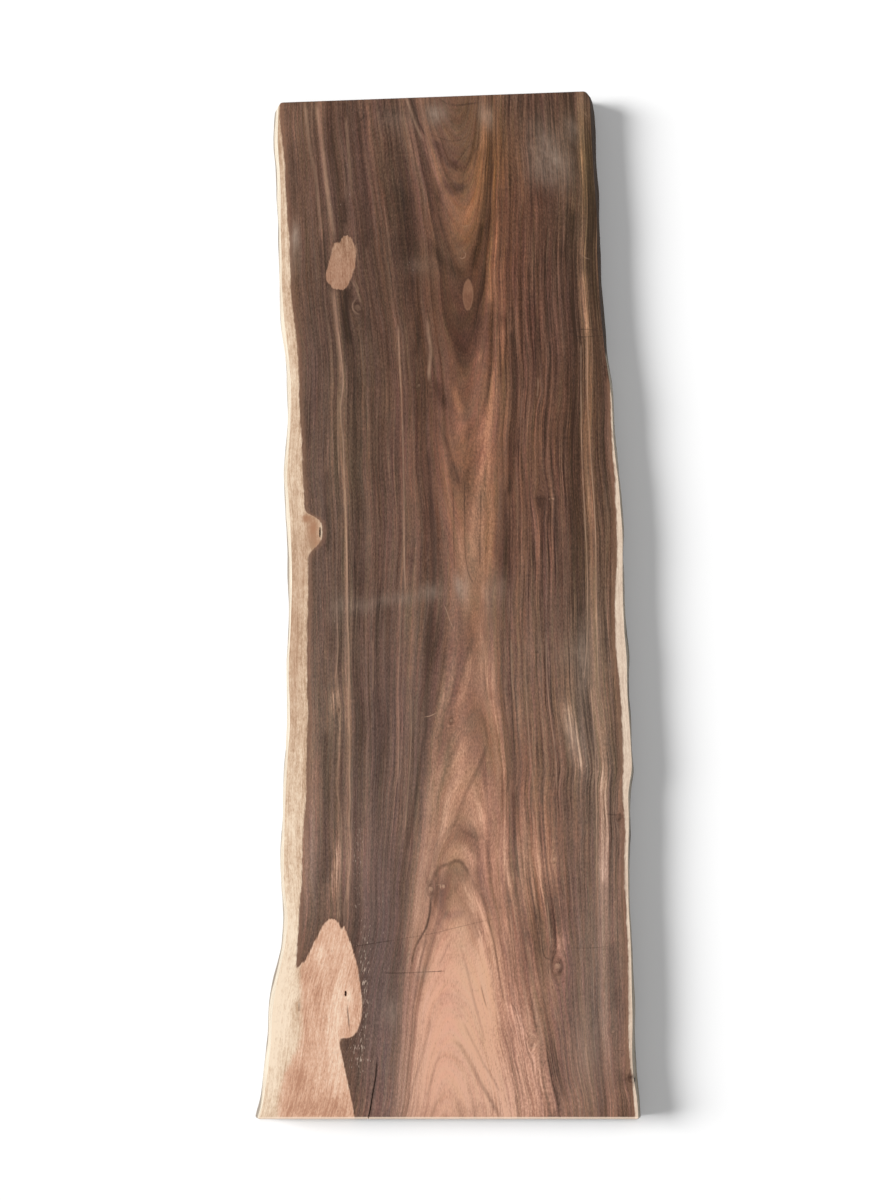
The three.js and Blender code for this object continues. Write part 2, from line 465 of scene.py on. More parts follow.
def keep_as_cutter(mesh_builder, name):
    """Turns a built mesh into a cutter."""
    bmesh.ops.recalc_face_normals(mesh_builder, faces=mesh_builder.faces)
    mesh = bpy.data.meshes.new(name)
    mesh_builder.to_mesh(mesh)
    mesh_builder.free()
    cutters.objects.link(bpy.data.objects.new(name, mesh))


cutters = bpy.data.collections.new("cutters")
bpy.context.scene.collection.children.link(cutters)

wedge = bmesh.new()
right_side, left_side = [], []
for i, (y, x) in enumerate(CHECK_LINE):
    half = CHECK_MOUTH / 2 * (1 - i / (len(CHECK_LINE) - 1))
    right_side.append((x + half + CENTRING, y))
    if half > 0:
        left_side.append((x - half + CENTRING, y))
outline = right_side + left_side[::-1]
wedge_levels = [
    (THICKNESS - CHECK_DEPTH, -CHECK_LEAN),
    (THICKNESS + OUT_OF_FACE, CHECK_LEAN * OUT_OF_FACE / CHECK_DEPTH),
]
for level, shift in wedge_levels:
    for x, y in outline:
        wedge.verts.new(((x + shift) * MM, y * MM, level * MM))
wedge.verts.ensure_lookup_table()
count = len(outline)
wedge.faces.new(wedge.verts[:count])
wedge.faces.new(wedge.verts[count:])
for k in range(count):
    a, b = k, (k + 1) % count
    wedge.faces.new([wedge.verts[v] for v in (a, b, b + count, a + count)])
keep_as_cutter(wedge, "drying_check")

for name, x, y, z, across, run, deep in HOLLOWS:
    ball = bmesh.new()
    bmesh.ops.create_uvsphere(ball, u_segments=20, v_segments=12, radius=1.0)
    for v in ball.verts:
        rough = 1 + 0.07 * math.sin(7 * v.co.x + 3 * v.co.z)
        rough += 0.05 * math.sin(9 * v.co.y + 2 * v.co.x)
        v.co = (
            (x + CENTRING + v.co.x * across * rough) * MM,
            (y + v.co.y * run * rough) * MM,
            (z + v.co.z * deep * rough) * MM,
        )
    keep_as_cutter(ball, name)

# %% Cut the hollows and keep the result as a plain mesh
opened = slab.modifiers.new("opened", "BOOLEAN")
opened.operation = "DIFFERENCE"
opened.operand_type = "COLLECTION"
opened.collection = cutters
opened.solver = "EXACT"
graph = bpy.context.evaluated_depsgraph_get()
board_mesh = bpy.data.meshes.new_from_object(slab.evaluated_get(graph))
board_mesh.name = "slab_board"
slab.modifiers.clear()
slab.data = board_mesh
slab.name = "slab_board"
for cutter in list(cutters.objects):
    bpy.data.objects.remove(cutter)
bpy.data.collections.remove(cutters)
triangles = sum(len(p.vertices) - 2 for p in board_mesh.polygons)
print("board:", len(board_mesh.vertices), "points,", triangles, "triangles")

# %% [markdown]
# ## How the rings run
#
# A tree grows in rings round its pith. Where the sawn face runs close to the pith, the rings come
# out as pointed arches; further out they are long lines. So one number, a point's distance from
# the pith, explains most of the figure. The pith lies behind the front face, nearer at both ends
# and deepest at mid length. A few lines drawn down the face, each one ring, say how the
# rings spread. Between them the distance is filled in smoothly, and it is read in the solid, so
# the back face and the ends get rings that belong to those of the front.

# %% The pith and the drawn ring lines
PITH_DEPTH = [
    # picture row, and how far the pith lies behind the front face
    (93, 45), (100, 48), (130, 70), (165, 93), (212, 114), (255, 127), (300, 133), (366, 142),
    (465, 152), (500, 154), (600, 156), (650, 156), (700, 154), (760, 149), (830, 141), (862, 136),
    (900, 131), (930, 124), (985, 105), (1010, 94), (1050, 74), (1070, 62), (1117, 36),
]
RING_LINES = [
    # distance of a ring from the pith, then picture row and share of the width of each point
    (-420, [(93, 0.0), (600, 0.0), (1117, 0.0)]),
    (-309, [(93, 0.142), (160, 0.152), (200, 0.157), (240, 0.165), (300, 0.172), (340, 0.170),
            (400, 0.163), (450, 0.172), (500, 0.176), (560, 0.172), (640, 0.174), (700, 0.178),
            (770, 0.184), (800, 0.190), (850, 0.196), (900, 0.188), (1000, 0.165), (1117, 0.13)]),
    (-212, [(93, 0.285), (160, 0.300), (220, 0.320), (320, 0.350), (380, 0.345), (520, 0.345),
            (620, 0.330), (700, 0.322), (800, 0.322), (900, 0.305), (1000, 0.290), (1117, 0.275)]),
    (-166, [(93, 0.385), (200, 0.425), (300, 0.445), (400, 0.440), (500, 0.460), (600, 0.470),
            (680, 0.438), (740, 0.412), (800, 0.410), (850, 0.400), (900, 0.376), (950, 0.362),
            (1000, 0.365), (1117, 0.355)]),
    (0, [(93, 0.570), (200, 0.572), (300, 0.565), (366, 0.545), (400, 0.530), (480, 0.520),
         (550, 0.543), (620, 0.560), (700, 0.558), (780, 0.535), (830, 0.520), (862, 0.500),
         (920, 0.500), (1000, 0.495), (1117, 0.490)]),
    (161, [(93, 0.705), (150, 0.700), (200, 0.692), (250, 0.686), (300, 0.680), (340, 0.665),
           (380, 0.650), (430, 0.640), (480, 0.630), (540, 0.610), (580, 0.602), (650, 0.600),
           (700, 0.605), (750, 0.620), (800, 0.634), (850, 0.634), (900, 0.642), (950, 0.664),
           (1020, 0.700), (1117, 0.742)]),
    (178, [(93, 0.738), (200, 0.727), (300, 0.716), (400, 0.690), (450, 0.680), (550, 0.665),
           (650, 0.656), (760, 0.661), (850, 0.676), (900, 0.690), (980, 0.730), (1050, 0.765),
           (1117, 0.790)]),
    (216, [(93, 0.812), (250, 0.805), (350, 0.790), (420, 0.766), (500, 0.755), (700, 0.750),
           (760, 0.760), (850, 0.776), (900, 0.788), (960, 0.800), (1030, 0.820), (1117, 0.845)]),
    (298, [(93, 0.956), (200, 0.950), (250, 0.942), (340, 0.938), (380, 0.922), (430, 0.910),
           (500, 0.900), (600, 0.900), (650, 0.896), (700, 0.900), (800, 0.918), (880, 0.920),
           (950, 0.916), (1117, 0.920)]),
    (361, [(93, 1.0), (600, 1.0), (1117, 1.0)]),
]
PITH_SLOPE = 0.45  # how much nearer the pith comes with each mm into the board


def down_face(table, y):
    """Reads a table of (picture row, value) at a height on the board."""
    pairs = sorted((float(height(py)), value) for py, value in table)
    return along(pairs, np.clip(y, pairs[0][0], pairs[-1][0]))


print(len(RING_LINES), "lines drawn down the face, with that of the pith")


# %% A steady random field
CELLS = 32


def lumps_of(place, size, seed):
    """Smooth random values from -1 to 1, with lumps of the given size in x, y and z."""
    table = np.random.default_rng(seed).uniform(-1, 1, (CELLS, CELLS, CELLS))
    scaled = place / np.asarray(size, float) + seed * 0.37
    base = np.floor(scaled).astype(int)
    t = scaled - base
    t = t * t * (3 - 2 * t)
    total = np.zeros(len(place))
    for corner in range(8):
        step = np.array([corner & 1, corner >> 1 & 1, corner >> 2 & 1])
        weight = np.prod(np.where(step, t, 1 - t), axis=1)
        cell = (base + step) % CELLS
        total += weight * table[cell[:, 0], cell[:, 1], cell[:, 2]]
    return total


# %% Distance from the pith
place = read_points(board_mesh)
X, Y, Z = place.T
below = THICKNESS - Z

left_line, right_line = widest(-1, Y), widest(1, Y)
share = np.clip((X - left_line) / (right_line - left_line), -0.01, 1.01)
pith_front = down_face(PITH_DEPTH, Y)

lines = np.stack([down_face(table, Y) for _, table in RING_LINES], 1)
reaches = np.stack(
    [np.sign(ring) * np.sqrt(np.maximum(ring**2 - pith_front**2, 1)) for ring, _ in RING_LINES], 1
)


def across_lines(value, knots, heights):
    """A rising curve through one row of knots for every point."""
    secant = np.diff(heights, axis=1) / np.diff(knots, axis=1)
    slopes = np.empty_like(heights)
    slopes[:, 1:-1] = 2 * secant[:, 1:] * secant[:, :-1] / (secant[:, 1:] + secant[:, :-1])
    slopes[:, 0], slopes[:, -1] = secant[:, 0], secant[:, -1]
    i = np.clip((value[:, None] > knots).sum(1) - 1, 0, knots.shape[1] - 2)
    rows = np.arange(len(value))
    gap = knots[rows, i + 1] - knots[rows, i]
    t = np.clip((value - knots[rows, i]) / gap, 0, 1)
    h0, h1 = heights[rows, i], heights[rows, i + 1]
    m0, m1 = slopes[rows, i] * gap, slopes[rows, i + 1] * gap
    return (
        h0 * (1 + 2 * t) * (1 - t) ** 2
        + m0 * t * (1 - t) ** 2
        + h1 * t * t * (3 - 2 * t)
        - m1 * t * t * (1 - t)
    )


across = across_lines(share, lines, reaches)
across += 2.2 * lumps_of(place, (60, 170, 90), 5) + 1.0 * lumps_of(place, (22, 70, 60), 9)
pith_here = pith_front - PITH_SLOPE * below
pith_here += (0.6 + 2.6 * np.clip((150 - pith_front) / 60, 0, 1)) * lumps_of(place, (30, 60, 80), 7)

# %% [markdown]
# ## Grain that parts round the knots
#
# A knot is a branch that the trunk grew round, so the lines part in front of it and close behind.
# Each knot pushes the ring lines aside near it, most at its rim.

# %% Knots
KNOTS = [
    # name, picture column and row, half width and height in mm, turn, darkness of the knot and
    # paleness of its middle
    ("centre", 451.4, 720.6, 7.0, 7.0, 0, 0.95, 0.40),
    ("arch", 431, 889, 9.0, 11.0, 20, 0.75, 0.90),
    ("lower_right", 558, 966, 13.0, 13.0, 25, 0.75, 0.75),
    ("butt", 532.5, 1045, 6.0, 4.0, -15, 0.45, 0.0),
    ("swirl", 357.5, 306.5, 11.0, 13.0, 30, 0.85, 0.20),
    ("dark_eye", 541, 499, 11.0, 5.0, -6, 0.90, 0.0),
    ("bright_eye", 553, 498.5, 5.0, 5.0, 0, 0.20, 0.55),
    ("dark_speck", 537, 392, 6.0, 12.0, 0, 0.30, 0.0),
    ("faint", 419, 385, 6.0, 7.0, 0, 0.65, 0.35),
    ("pale_knot", 298, 1006, 6.0, 9.0, 0, 0.55, 0.0),
    ("tan_knot", 339, 709.5, 3.5, 5.0, 0, 0.60, 0.0),
    ("small_speck", 554, 859, 6.0, 7.0, 0, 0.15, 0.60),
    ("cap_speck", 443.5, 886, 6.0, 9.0, 0, 0.10, 0.90),
    ("sap_mark", 613, 1032, 6.0, 6.0, 0, 0.40, 0.30),
    ("edge", 632, 1078, 11.0, 9.0, 0, 0.80, 0.0),
    ("edge_speck", 619.5, 816.5, 9.0, 6.0, 0, 0.65, 0.0),
]
FAR = 1e9
PUSH_FADES, KNOT_FADES = 30.0, 25.0  # over how many mm into the board
knot_place = np.zeros((len(X), 3))
knot_middle = np.zeros(len(X))
nearest = np.full(len(X), FAR)
for name, px, py, wide, tall, turn, strength, middle in KNOTS:
    kx, ky = on_face(px, py)
    dx, dy = X - kx, (Y - ky) / 2.0
    away = np.hypot(dx, dy) + 1e-6
    push = wide * 0.9 * np.exp(-((away / (2.0 * wide)) ** 2)) * np.exp(-below / PUSH_FADES)
    across -= push * dx / away
    c, s = math.cos(math.radians(turn)), math.sin(math.radians(turn))
    u = ((X - kx) * c + (Y - ky) * s) / wide
    v = (-(X - kx) * s + (Y - ky) * c) / tall
    gap = np.hypot(u, v)
    closer = gap < nearest
    nearest = np.where(closer, gap, nearest)
    left = np.exp(-below / KNOT_FADES)
    knot_place[closer] = np.stack([u, v, strength * left], 1)[closer]
    knot_middle[closer] = (middle * left)[closer]
ring = np.hypot(across, pith_here)
write_field(board_mesh, "growth", np.stack([ring, Y, across], 1))
write_field(board_mesh, "knot", knot_place)
write_field(board_mesh, "knot_middle", knot_middle)
print("distance from the pith:", round(ring.min()), "to", round(ring.max()), "mm")

# %% [markdown]
# ## Sapwood and pale patches
#
# The youngest wood, just under the bark, is pale sapwood. On this board it is a broad band up the
# left edge, a thin one on the lower right, and it breaks in as a patch at the lower left corner,
# where the sawn face dips into the side of the trunk. An outline drawn on the face gives each
# patch, and the field stores the distance to that outline, so the shader can draw a crisp or a
# ragged border as it likes.

# %% Where the sapwood ends
LEFT_SAP = [
    # picture row and column
    (93, 279), (110, 279.5), (140, 282.5), (155, 284.5), (200, 286.5), (222, 288), (240, 290),
    (280, 290.5), (312, 293), (340, 297), (360, 298.5), (400, 299.5), (450, 302.2), (500, 304),
    (511, 305.5), (515, 311), (518, 317), (523, 321), (530, 322.5), (538, 322), (544, 319),
    (549, 314), (554, 309.5), (562, 308), (600, 308), (640, 307), (700, 307.5), (768, 307),
    (796, 306.5), (824, 303.4), (880, 301.7), (916, 299), (950, 297.5), (963, 297), (985, 299),
    (1027, 299), (1045, 296), (1058, 290), (1072, 284), (1086, 279), (1105, 276), (1117, 275),
]
RIGHT_SAP = [
    (93, 612), (330, 612), (372, 608), (390, 610), (407, 610.7), (430, 611), (470, 614.3),
    (484, 615.3), (520, 616.4), (560, 617), (600, 615), (640, 615.4), (684, 619.2), (712, 621.6),
    (740, 622.8), (757, 622.2), (796, 622.8), (820, 624.5), (852, 625), (888, 624.5), (944, 628),
    (1000, 628.1), (1040, 628.7), (1060, 629.6), (1085, 632.4), (1112, 634.6), (1117, 634.6),
]


def picture_line(table, y):
    """x of a line drawn as (picture row, picture column), at a height on the board."""
    placed = sorted((float(on_face(px, py)[1]), float(on_face(px, py)[0])) for py, px in table)
    return along(placed, np.clip(y, placed[0][0], placed[-1][0]))


RIGHT_SAP_TOP_ROW = 386
wander = 1.6 * lumps_of(place, (20, 45, 40), 21)
wander += 4 * lumps_of(place, (60, 160, 30), 22) * (below > 20)
right_sap_end = 26 * smooth(0.0, 50.0, Y - height(RIGHT_SAP_TOP_ROW))
sap = np.maximum(
    picture_line(LEFT_SAP, Y) - X + 0.25 * below,
    X - picture_line(RIGHT_SAP, Y) + 0.3 * below - right_sap_end,
)
write_field(board_mesh, "sap", sap + wander)

# %% Patches with a drawn outline
CORNER_PATCH = [
    # picture column and row
    (230, 1140), (230, 985), (284, 976), (297, 967), (304, 961.5), (308.5, 953.5), (312.5, 946),
    (316.5, 938.5), (320, 931), (323, 925), (326.5, 921), (330, 918.5), (334, 919), (337, 921),
    (339.5, 925), (341, 929.5), (342.5, 930), (344, 926.5), (346, 931), (349.5, 940), (354, 953),
    (357.5, 967), (360.3, 985), (362, 1000), (362, 1012), (360.5, 1022), (357, 1031.5),
    (352.5, 1036.5), (347, 1038.5), (341.5, 1038), (340, 1042.5), (341.5, 1054), (345, 1070),
    (348.5, 1086), (352.5, 1103), (355, 1121), (357, 1140),
]
OVAL_PATCH = [
    (333, 246), (336, 242.5), (339, 243), (341, 239), (343.5, 236), (347, 235), (351, 238),
    (354, 243), (355.5, 250), (355.5, 263), (353, 273), (350, 281), (345, 289), (340, 290),
    (334, 288.5), (329, 284), (326, 279), (326.5, 272), (329, 262), (331.5, 253),
]
SMALL_OVAL = [
    (465, 282), (468.5, 278.5), (472, 284), (473.5, 294), (472, 305), (468.5, 311), (465, 308),
    (462.5, 298), (463, 288),
]
DARK_SHAPES = [
    # strength, softness in mm, and the outline of a small dark patch in the figure
    (0.8, 4.0, [(431, 141), (438, 141), (443, 144), (446, 152), (448, 160), (456, 161), (457, 168),
                (449, 168), (442, 160), (436, 153)]),
    (0.8, 4.5, [(442, 179), (447, 182), (455, 185), (463, 184), (463, 194), (454, 195), (447, 191)]),
    (0.42, 7.0, [(453, 322), (454, 345), (456, 360), (462, 368), (469, 365), (475, 355), (480, 343),
                 (484, 328), (484, 318), (470, 312), (456, 314)]),
    (0.6, 5.0, [(450, 462), (456, 464), (460, 474), (458, 484), (453, 477)]),
    (0.42, 10.0, [(434, 884), (438, 874), (446, 867), (456, 864), (463, 868), (466, 876), (460, 884),
                  (452, 892), (446, 900), (438, 902)]),
    (0.7, 6.0, [(444, 911), (451, 913), (459, 911), (462, 915), (455, 919), (447, 919)]),
    (0.35, 9.0, [(440, 997), (450, 994), (461, 999), (466, 1012), (462, 1022), (450, 1018),
                 (442, 1010)]),
]
SHAPES_FADE = 12.0
print(len(DARK_SHAPES), "small dark patches")


# %% Distance into a patch
def curve_through(points, steps=5):
    """A smooth line from the second point to the last but one; the outer two set its direction."""
    t = (np.arange(steps) / steps)[:, None]
    return np.concatenate([
        0.5 * (2 * b + (c - a) * t + (2 * a - 5 * b + 4 * c - d) * t**2
               + (3 * b - a - 3 * c + d) * t**3)
        for a, b, c, d in zip(points, points[1:], points[2:], points[3:])
    ])


def rounded(points):
    """A smooth closed line through drawn points."""
    p = np.array(points, float)
    return curve_through(np.concatenate([p[-1:], p, p[:2]]))


def inside_distance(outline, x, y):
    """Distance to a closed outline, above zero inside it."""
    nearest = np.full(len(x), FAR)
    inside = np.zeros(len(x), bool)
    for (ax, ay), (bx, by) in zip(outline, np.roll(outline, -1, axis=0)):
        ux, uy = bx - ax, by - ay
        t = np.clip(((x - ax) * ux + (y - ay) * uy) / (ux * ux + uy * uy + 1e-9), 0, 1)
        nearest = np.minimum(nearest, np.hypot(x - ax - t * ux, y - ay - t * uy))
        crosses = (ay > y) != (by > y)
        inside ^= crosses & (x < ax + (y - ay) / (by - ay + 1e-12) * ux)
    return np.where(inside, nearest, -nearest)


def drawn_patch(points):
    """Distance into a patch drawn on the picture, in mm, for every point of the board."""
    px, py = rounded(points).T
    return inside_distance(np.stack(on_face(px, py), 1), X, Y)


corner = drawn_patch(CORNER_PATCH) + 0.5 * below * lumps_of(place, (120, 160, 60), 31)
oval = drawn_patch(OVAL_PATCH) - 0.8 * below
small_oval = drawn_patch(SMALL_OVAL) - 0.8 * below
write_field(board_mesh, "corner_patch", corner)
write_field(board_mesh, "oval_patch", oval)
write_field(board_mesh, "small_oval", small_oval)
dark_shape = np.zeros(len(X))
for strength, softness, points in DARK_SHAPES:
    dark_shape += strength * smooth(-softness, softness, drawn_patch(points))
dark_shape *= np.exp(-below / SHAPES_FADE)
write_field(board_mesh, "dark_shape", dark_shape)
print("corner patch covers", round(100 * float((corner > 0).mean()), 1), "% of the points")

# %% [markdown]
# ## Strokes
#
# Some marks are single lines: the strong dark arch, a few dark ring lines in the middle, hairline
# cracks and scratches. Each is a short list of points. Broad strokes are laid straight into the
# tone. For a fine one the mesh keeps the signed distance to it and its strength, which stays sharp
# however coarse the mesh is, as long as fine strokes that come close lie in different layers.

# %% Soft strokes, darker and lighter
DUSK_STROKES = [
    # strength, half width in mm, then picture column and row of each point
    # the upper figure: nested points round a tan tongue
    (0.5, 2.6, [424, 150, 430, 168, 435, 181, 440, 195]),
    (0.55, 2.6, [427, 183, 433, 192, 440, 200, 447, 211, 453, 220, 458, 226]),
    (0.5, 3.0, [433, 205, 438, 216, 442, 227, 446, 239, 451, 251, 458, 260]),
    (0.8, 3.0, [494, 140, 489.5, 162, 487.5, 185, 486, 205, 483, 222]),
    (0.8, 5.5, [483, 222, 480, 234, 478, 246, 475, 259, 474, 270]),
    (0.55, 9.0, [428, 240, 438, 254, 448, 266, 458, 272, 470, 274]),
    (0.15, 9.0, [404, 150, 409, 190, 413, 225, 420, 255, 430, 280]),
    (0.6, 5.0, [417, 312, 418, 334, 416, 358]),
    (0.45, 3.0, [434, 330, 434, 350, 433, 372]),
    # the sides of the upper half
    (0.15, 6.0, [288, 108, 290, 150, 291, 190, 293, 218]),
    (0.6, 4.5, [357, 112, 360, 130, 363, 160, 365, 200, 368, 250]),
    (0.7, 5.0, [344, 198, 346, 226]),
    (0.7, 6.0, [350, 286, 347, 302, 346, 322, 350, 345]),
    (0.08, 7.0, [352, 340, 355, 380, 354, 420, 357, 480, 357, 540, 358, 600]),
    (0.6, 6.0, [326, 470, 327, 500, 328, 530, 327, 555]),
    (0.7, 3.6, [537, 335, 535, 360, 533, 385, 533, 405]),
    (0.8, 4.5, [512, 330, 515, 380, 515, 430, 512, 470, 509, 495]),
    (0.4, 9.0, [503, 480, 504, 540, 502, 590]),
    (0.35, 6.5, [573, 300, 572, 350, 572, 400, 573, 450, 575, 500, 577, 550, 579, 600, 581, 650]),
    # the middle
    (0.25, 4.0, [499, 340, 495, 358, 490, 376, 485, 392, 480, 404]),
    (0.8, 7.0, [437, 378, 441, 395, 447, 410]),
    (0.75, 2.8, [437, 418, 442, 431, 448, 446, 452, 460, 457, 474, 460, 487]),
    (0.5, 2.6, [469, 414, 469, 435, 466, 452, 464, 468]),
    (0.55, 4.5, [468, 466, 467, 482, 468, 498]),
    (0.4, 4.5, [448, 468, 451, 485, 453, 502]),
    (1.2, 4.4, [429, 450, 430, 480, 432, 510, 433, 540, 434, 575, 432, 604]),
    (1.0, 4.0, [431, 600, 431, 616, 429, 640, 427, 665, 427, 690, 426, 712, 426, 730, 423, 745, 420,
                765, 418, 782, 415, 800, 411, 830, 407, 850]),
    (0.45, 5.0, [469, 610, 470, 628, 472, 642, 468, 655]),
    (0.6, 3.0, [446, 650, 443, 668, 440, 686, 436, 705]),
    (0.5, 3.0, [462, 655, 458, 670, 454, 688, 450, 704]),
    (0.5, 2.6, [470, 640, 466, 660, 461, 678, 455, 696]),
    (0.8, 4.4, [481, 712, 485, 726, 487, 740, 486, 750, 482, 760, 476, 774, 468, 788, 461, 808, 456,
                821, 449, 830, 441, 840]),
    (0.4, 3.6, [448, 730, 449, 746, 450, 762]),
    (0.2, 6.0, [581, 690, 586, 715, 587, 745, 588, 790, 589, 830]),
    (0.8, 6.5, [325, 730, 326, 790, 325, 840, 324, 885]),
    (0.5, 6.0, [388, 600, 389, 650, 388, 700, 386, 760]),
    # the arches
    (0.55, 3.0, [443, 841, 438, 850, 435, 858, 433, 868]),
    (0.55, 4.2, [455, 829.5, 461, 830, 467, 833, 473, 836.5, 478, 838.5, 482.5, 836.5]),
    (0.6, 2.4, [482, 834, 487, 846, 489, 860, 493, 873]),
    (0.5, 2.8, [501, 770, 502.5, 790, 502, 810, 499.5, 832, 498, 850]),
    (0.5, 2.8, [484, 838, 487, 848, 488, 860, 490, 872, 492, 886]),
    (1.15, 4.0, [431, 886, 433, 879, 437, 871, 442, 866, 449, 864, 456, 861, 461, 862, 465, 867,
                 470, 877]),
    (0.55, 3.0, [470, 877, 477, 888, 483, 899, 487, 912]),
    (0.3, 7.0, [438, 878, 437, 892, 439, 905]),
    (0.9, 5.5, [514, 790, 515, 820, 514, 850, 515, 876]),
    (0.6, 3.0, [503, 780, 503, 800, 502, 822]),
    (0.5, 6.0, [499, 905, 503, 912]),
    # the foot
    (0.7, 3.2, [515, 880, 518, 900, 521, 920, 524, 940, 527, 960, 530, 985, 533, 1010]),
    (1.1, 4.4, [534, 905, 535, 925, 537, 945, 539, 965, 541, 985, 546, 1010, 552, 1040, 558, 1070,
                566, 1102]),
    (0.75, 4.0, [455, 1041, 462, 1048, 470, 1062, 478, 1078, 486, 1092, 495, 1108, 500, 1115]),
    (0.6, 2.6, [437, 930, 432, 948, 426, 968, 422, 985]),
    (0.45, 2.4, [452, 938, 445, 953, 438, 966]),
    (0.5, 2.6, [460, 944, 466, 965, 470, 982, 474, 1000, 479, 1018, 485, 1040]),
    (0.5, 2.6, [464, 1024, 474, 1044, 483, 1062, 492, 1077, 500, 1092]),
    (0.5, 2.8, [431, 1018, 425, 1045, 418, 1070, 411, 1094, 406, 1112]),
    (0.45, 2.6, [441, 1050, 433, 1075, 426, 1100]),
    (0.5, 2.6, [508, 900, 510, 930, 513, 960, 518, 985, 524, 1008]),
    (0.55, 2.2, [497, 925, 502, 950, 506, 975, 511, 992]),
    (0.5, 7.0, [611, 940, 613, 970, 614, 1010]),
    (0.5, 9.0, [620, 1065, 622, 1090]),
]
GLOW_STROKES = [
    # the same, lighter
    (0.9, 2.6, [406, 98, 410, 108, 414, 120, 419, 132, 423, 140]),
    (0.45, 7.0, [425, 143, 431, 156, 435, 168, 438, 182]),
    (0.6, 7.0, [455, 172, 458, 179]),
    (0.8, 6.5, [488, 106, 487, 120, 485, 134, 483, 150]),
    (0.15, 11.0, [479, 150, 476, 175, 473, 200, 469, 225]),
    (0.8, 6.0, [494, 235, 492, 255, 491, 280, 490, 304]),
    (0.45, 5.0, [503, 255, 503, 290, 504, 318]),
    (0.3, 8.0, [441, 132, 453, 135, 464, 133]),
    (0.3, 4.5, [407, 138, 412, 152, 418, 172, 423, 187, 427, 200, 431, 216, 435, 235, 441, 250,
                448, 262]),
    (0.6, 5.0, [489, 338, 487, 349, 481, 356, 477, 364]),
    (0.62, 12.0, [502, 322, 501, 345, 497, 365, 492, 385, 487, 405, 484, 425, 483, 450, 484, 480,
                 486, 520, 487, 555, 485, 580]),
    (0.5, 8.0, [455, 380, 457, 400, 460, 430, 460, 450]),
    (1.0, 3.4, [427, 318, 428, 332, 430, 345, 430.5, 356, 429, 372, 429, 380]),
    (0.5, 6.0, [473, 500, 472, 530, 474, 560]),
    (0.5, 5.0, [460, 525, 460, 550, 461, 570]),
    (0.4, 5.0, [442, 445, 446, 470, 448, 500, 449, 530, 449, 560]),
    (0.6, 6.0, [484, 578, 484, 600, 482, 630, 484, 652]),
    (0.9, 9.0, [484, 652, 487, 675, 489, 695]),
    (0.5, 4.5, [491, 698, 494, 712, 497, 728, 501, 745, 504, 765, 506, 785, 506, 805, 505, 830,
                504, 852, 506, 870, 510, 890]),
    (0.5, 12.0, [466, 736, 462, 758, 457, 780, 450, 802, 444, 826, 440, 846]),
    (0.6, 15.0, [483, 778, 481, 800, 482, 826]),
    (0.5, 5.0, [452, 650, 451, 670, 447, 690, 443, 708]),
    (0.5, 5.0, [470, 655, 467, 675, 462, 692, 456, 706]),
    (0.9, 8.0, [462, 880, 468, 893, 475, 906, 481, 918, 485, 932, 488, 950]),
    (0.45, 8.0, [449, 850, 462, 850, 472, 856, 480, 868]),
    (0.3, 5.0, [533, 1053, 536, 1068, 541, 1092]),
    (0.6, 4.6, [505, 1002, 512, 1011, 520, 1025, 527, 1038]),
    (0.6, 5.0, [481, 925, 482, 955, 486, 985]),
    (0.55, 7.0, [455, 1031, 468, 1043, 478, 1059, 487, 1076, 498, 1098]),
    (0.5, 6.0, [448, 984, 438, 990, 429, 1002, 424, 1018]),
    (0.5, 6.0, [425, 945, 419, 960, 417, 975]),
    (0.8, 3.4, [305, 104, 307.5, 130, 310, 150, 315, 172, 318, 200, 321, 232]),
    (0.95, 4.0, [316.5, 104, 320, 130, 323, 155, 326, 180, 329, 200, 332, 222, 335, 238]),
    (0.15, 5.0, [369, 104, 370, 120, 372, 140, 376, 168]),
    (0.25, 4.5, [383, 200, 388, 235, 391, 265, 394, 300, 397, 335, 399, 360]),
    (0.6, 3.4, [346, 118, 348, 145, 350, 170, 352, 200]),
    (0.7, 3.6, [333, 292, 335, 310, 337, 330, 339, 352, 342, 375]),
    (0.5, 5.0, [320, 224, 321, 242]),
    (0.8, 6.0, [336, 688, 334, 704, 333, 718]),
    (0.6, 3.6, [338, 735, 339, 752]),
    (0.8, 4.5, [336, 838, 338, 855, 335, 872]),
    (0.8, 6.0, [334, 868, 332, 885, 331, 904]),
    (0.7, 2.4, [350, 862, 349, 878, 347, 892, 344, 906, 345, 920]),
    (0.4, 6.0, [582, 150, 582, 190, 583, 230, 583, 256]),
    (1.0, 6.0, [583, 272, 585, 300, 587, 335]),
    (0.7, 6.0, [569, 192, 571, 200, 573, 212]),
    (0.85, 8.5, [566, 700, 569, 718, 572, 734, 575.5, 750, 579.5, 763, 583, 774]),
    (0.45, 4.0, [528, 945, 531, 965, 534, 990, 538, 1015, 543, 1040]),
    (0.35, 3.0, [516, 925, 519, 950, 522, 975, 525.5, 1000, 529, 1020, 532.5, 1040]),
    (0.50, 8.0, [338, 842, 337, 860, 335.5, 880, 334, 897, 333, 912, 333, 924]),
    (0.50, 2.4, [340.5, 820, 340.5, 850, 340, 880, 338.5, 905, 337.5, 922]),
    (0.45, 2.2, [350.5, 820, 351, 850, 350, 880, 346.5, 903, 344, 915, 344.5, 925]),
    (0.75, 6.0, [602.5, 765, 603.5, 785, 604.5, 810, 605.5, 830, 605, 860, 603.5, 885]),
    (0.7, 8.0, [562, 930, 562, 955]),
]

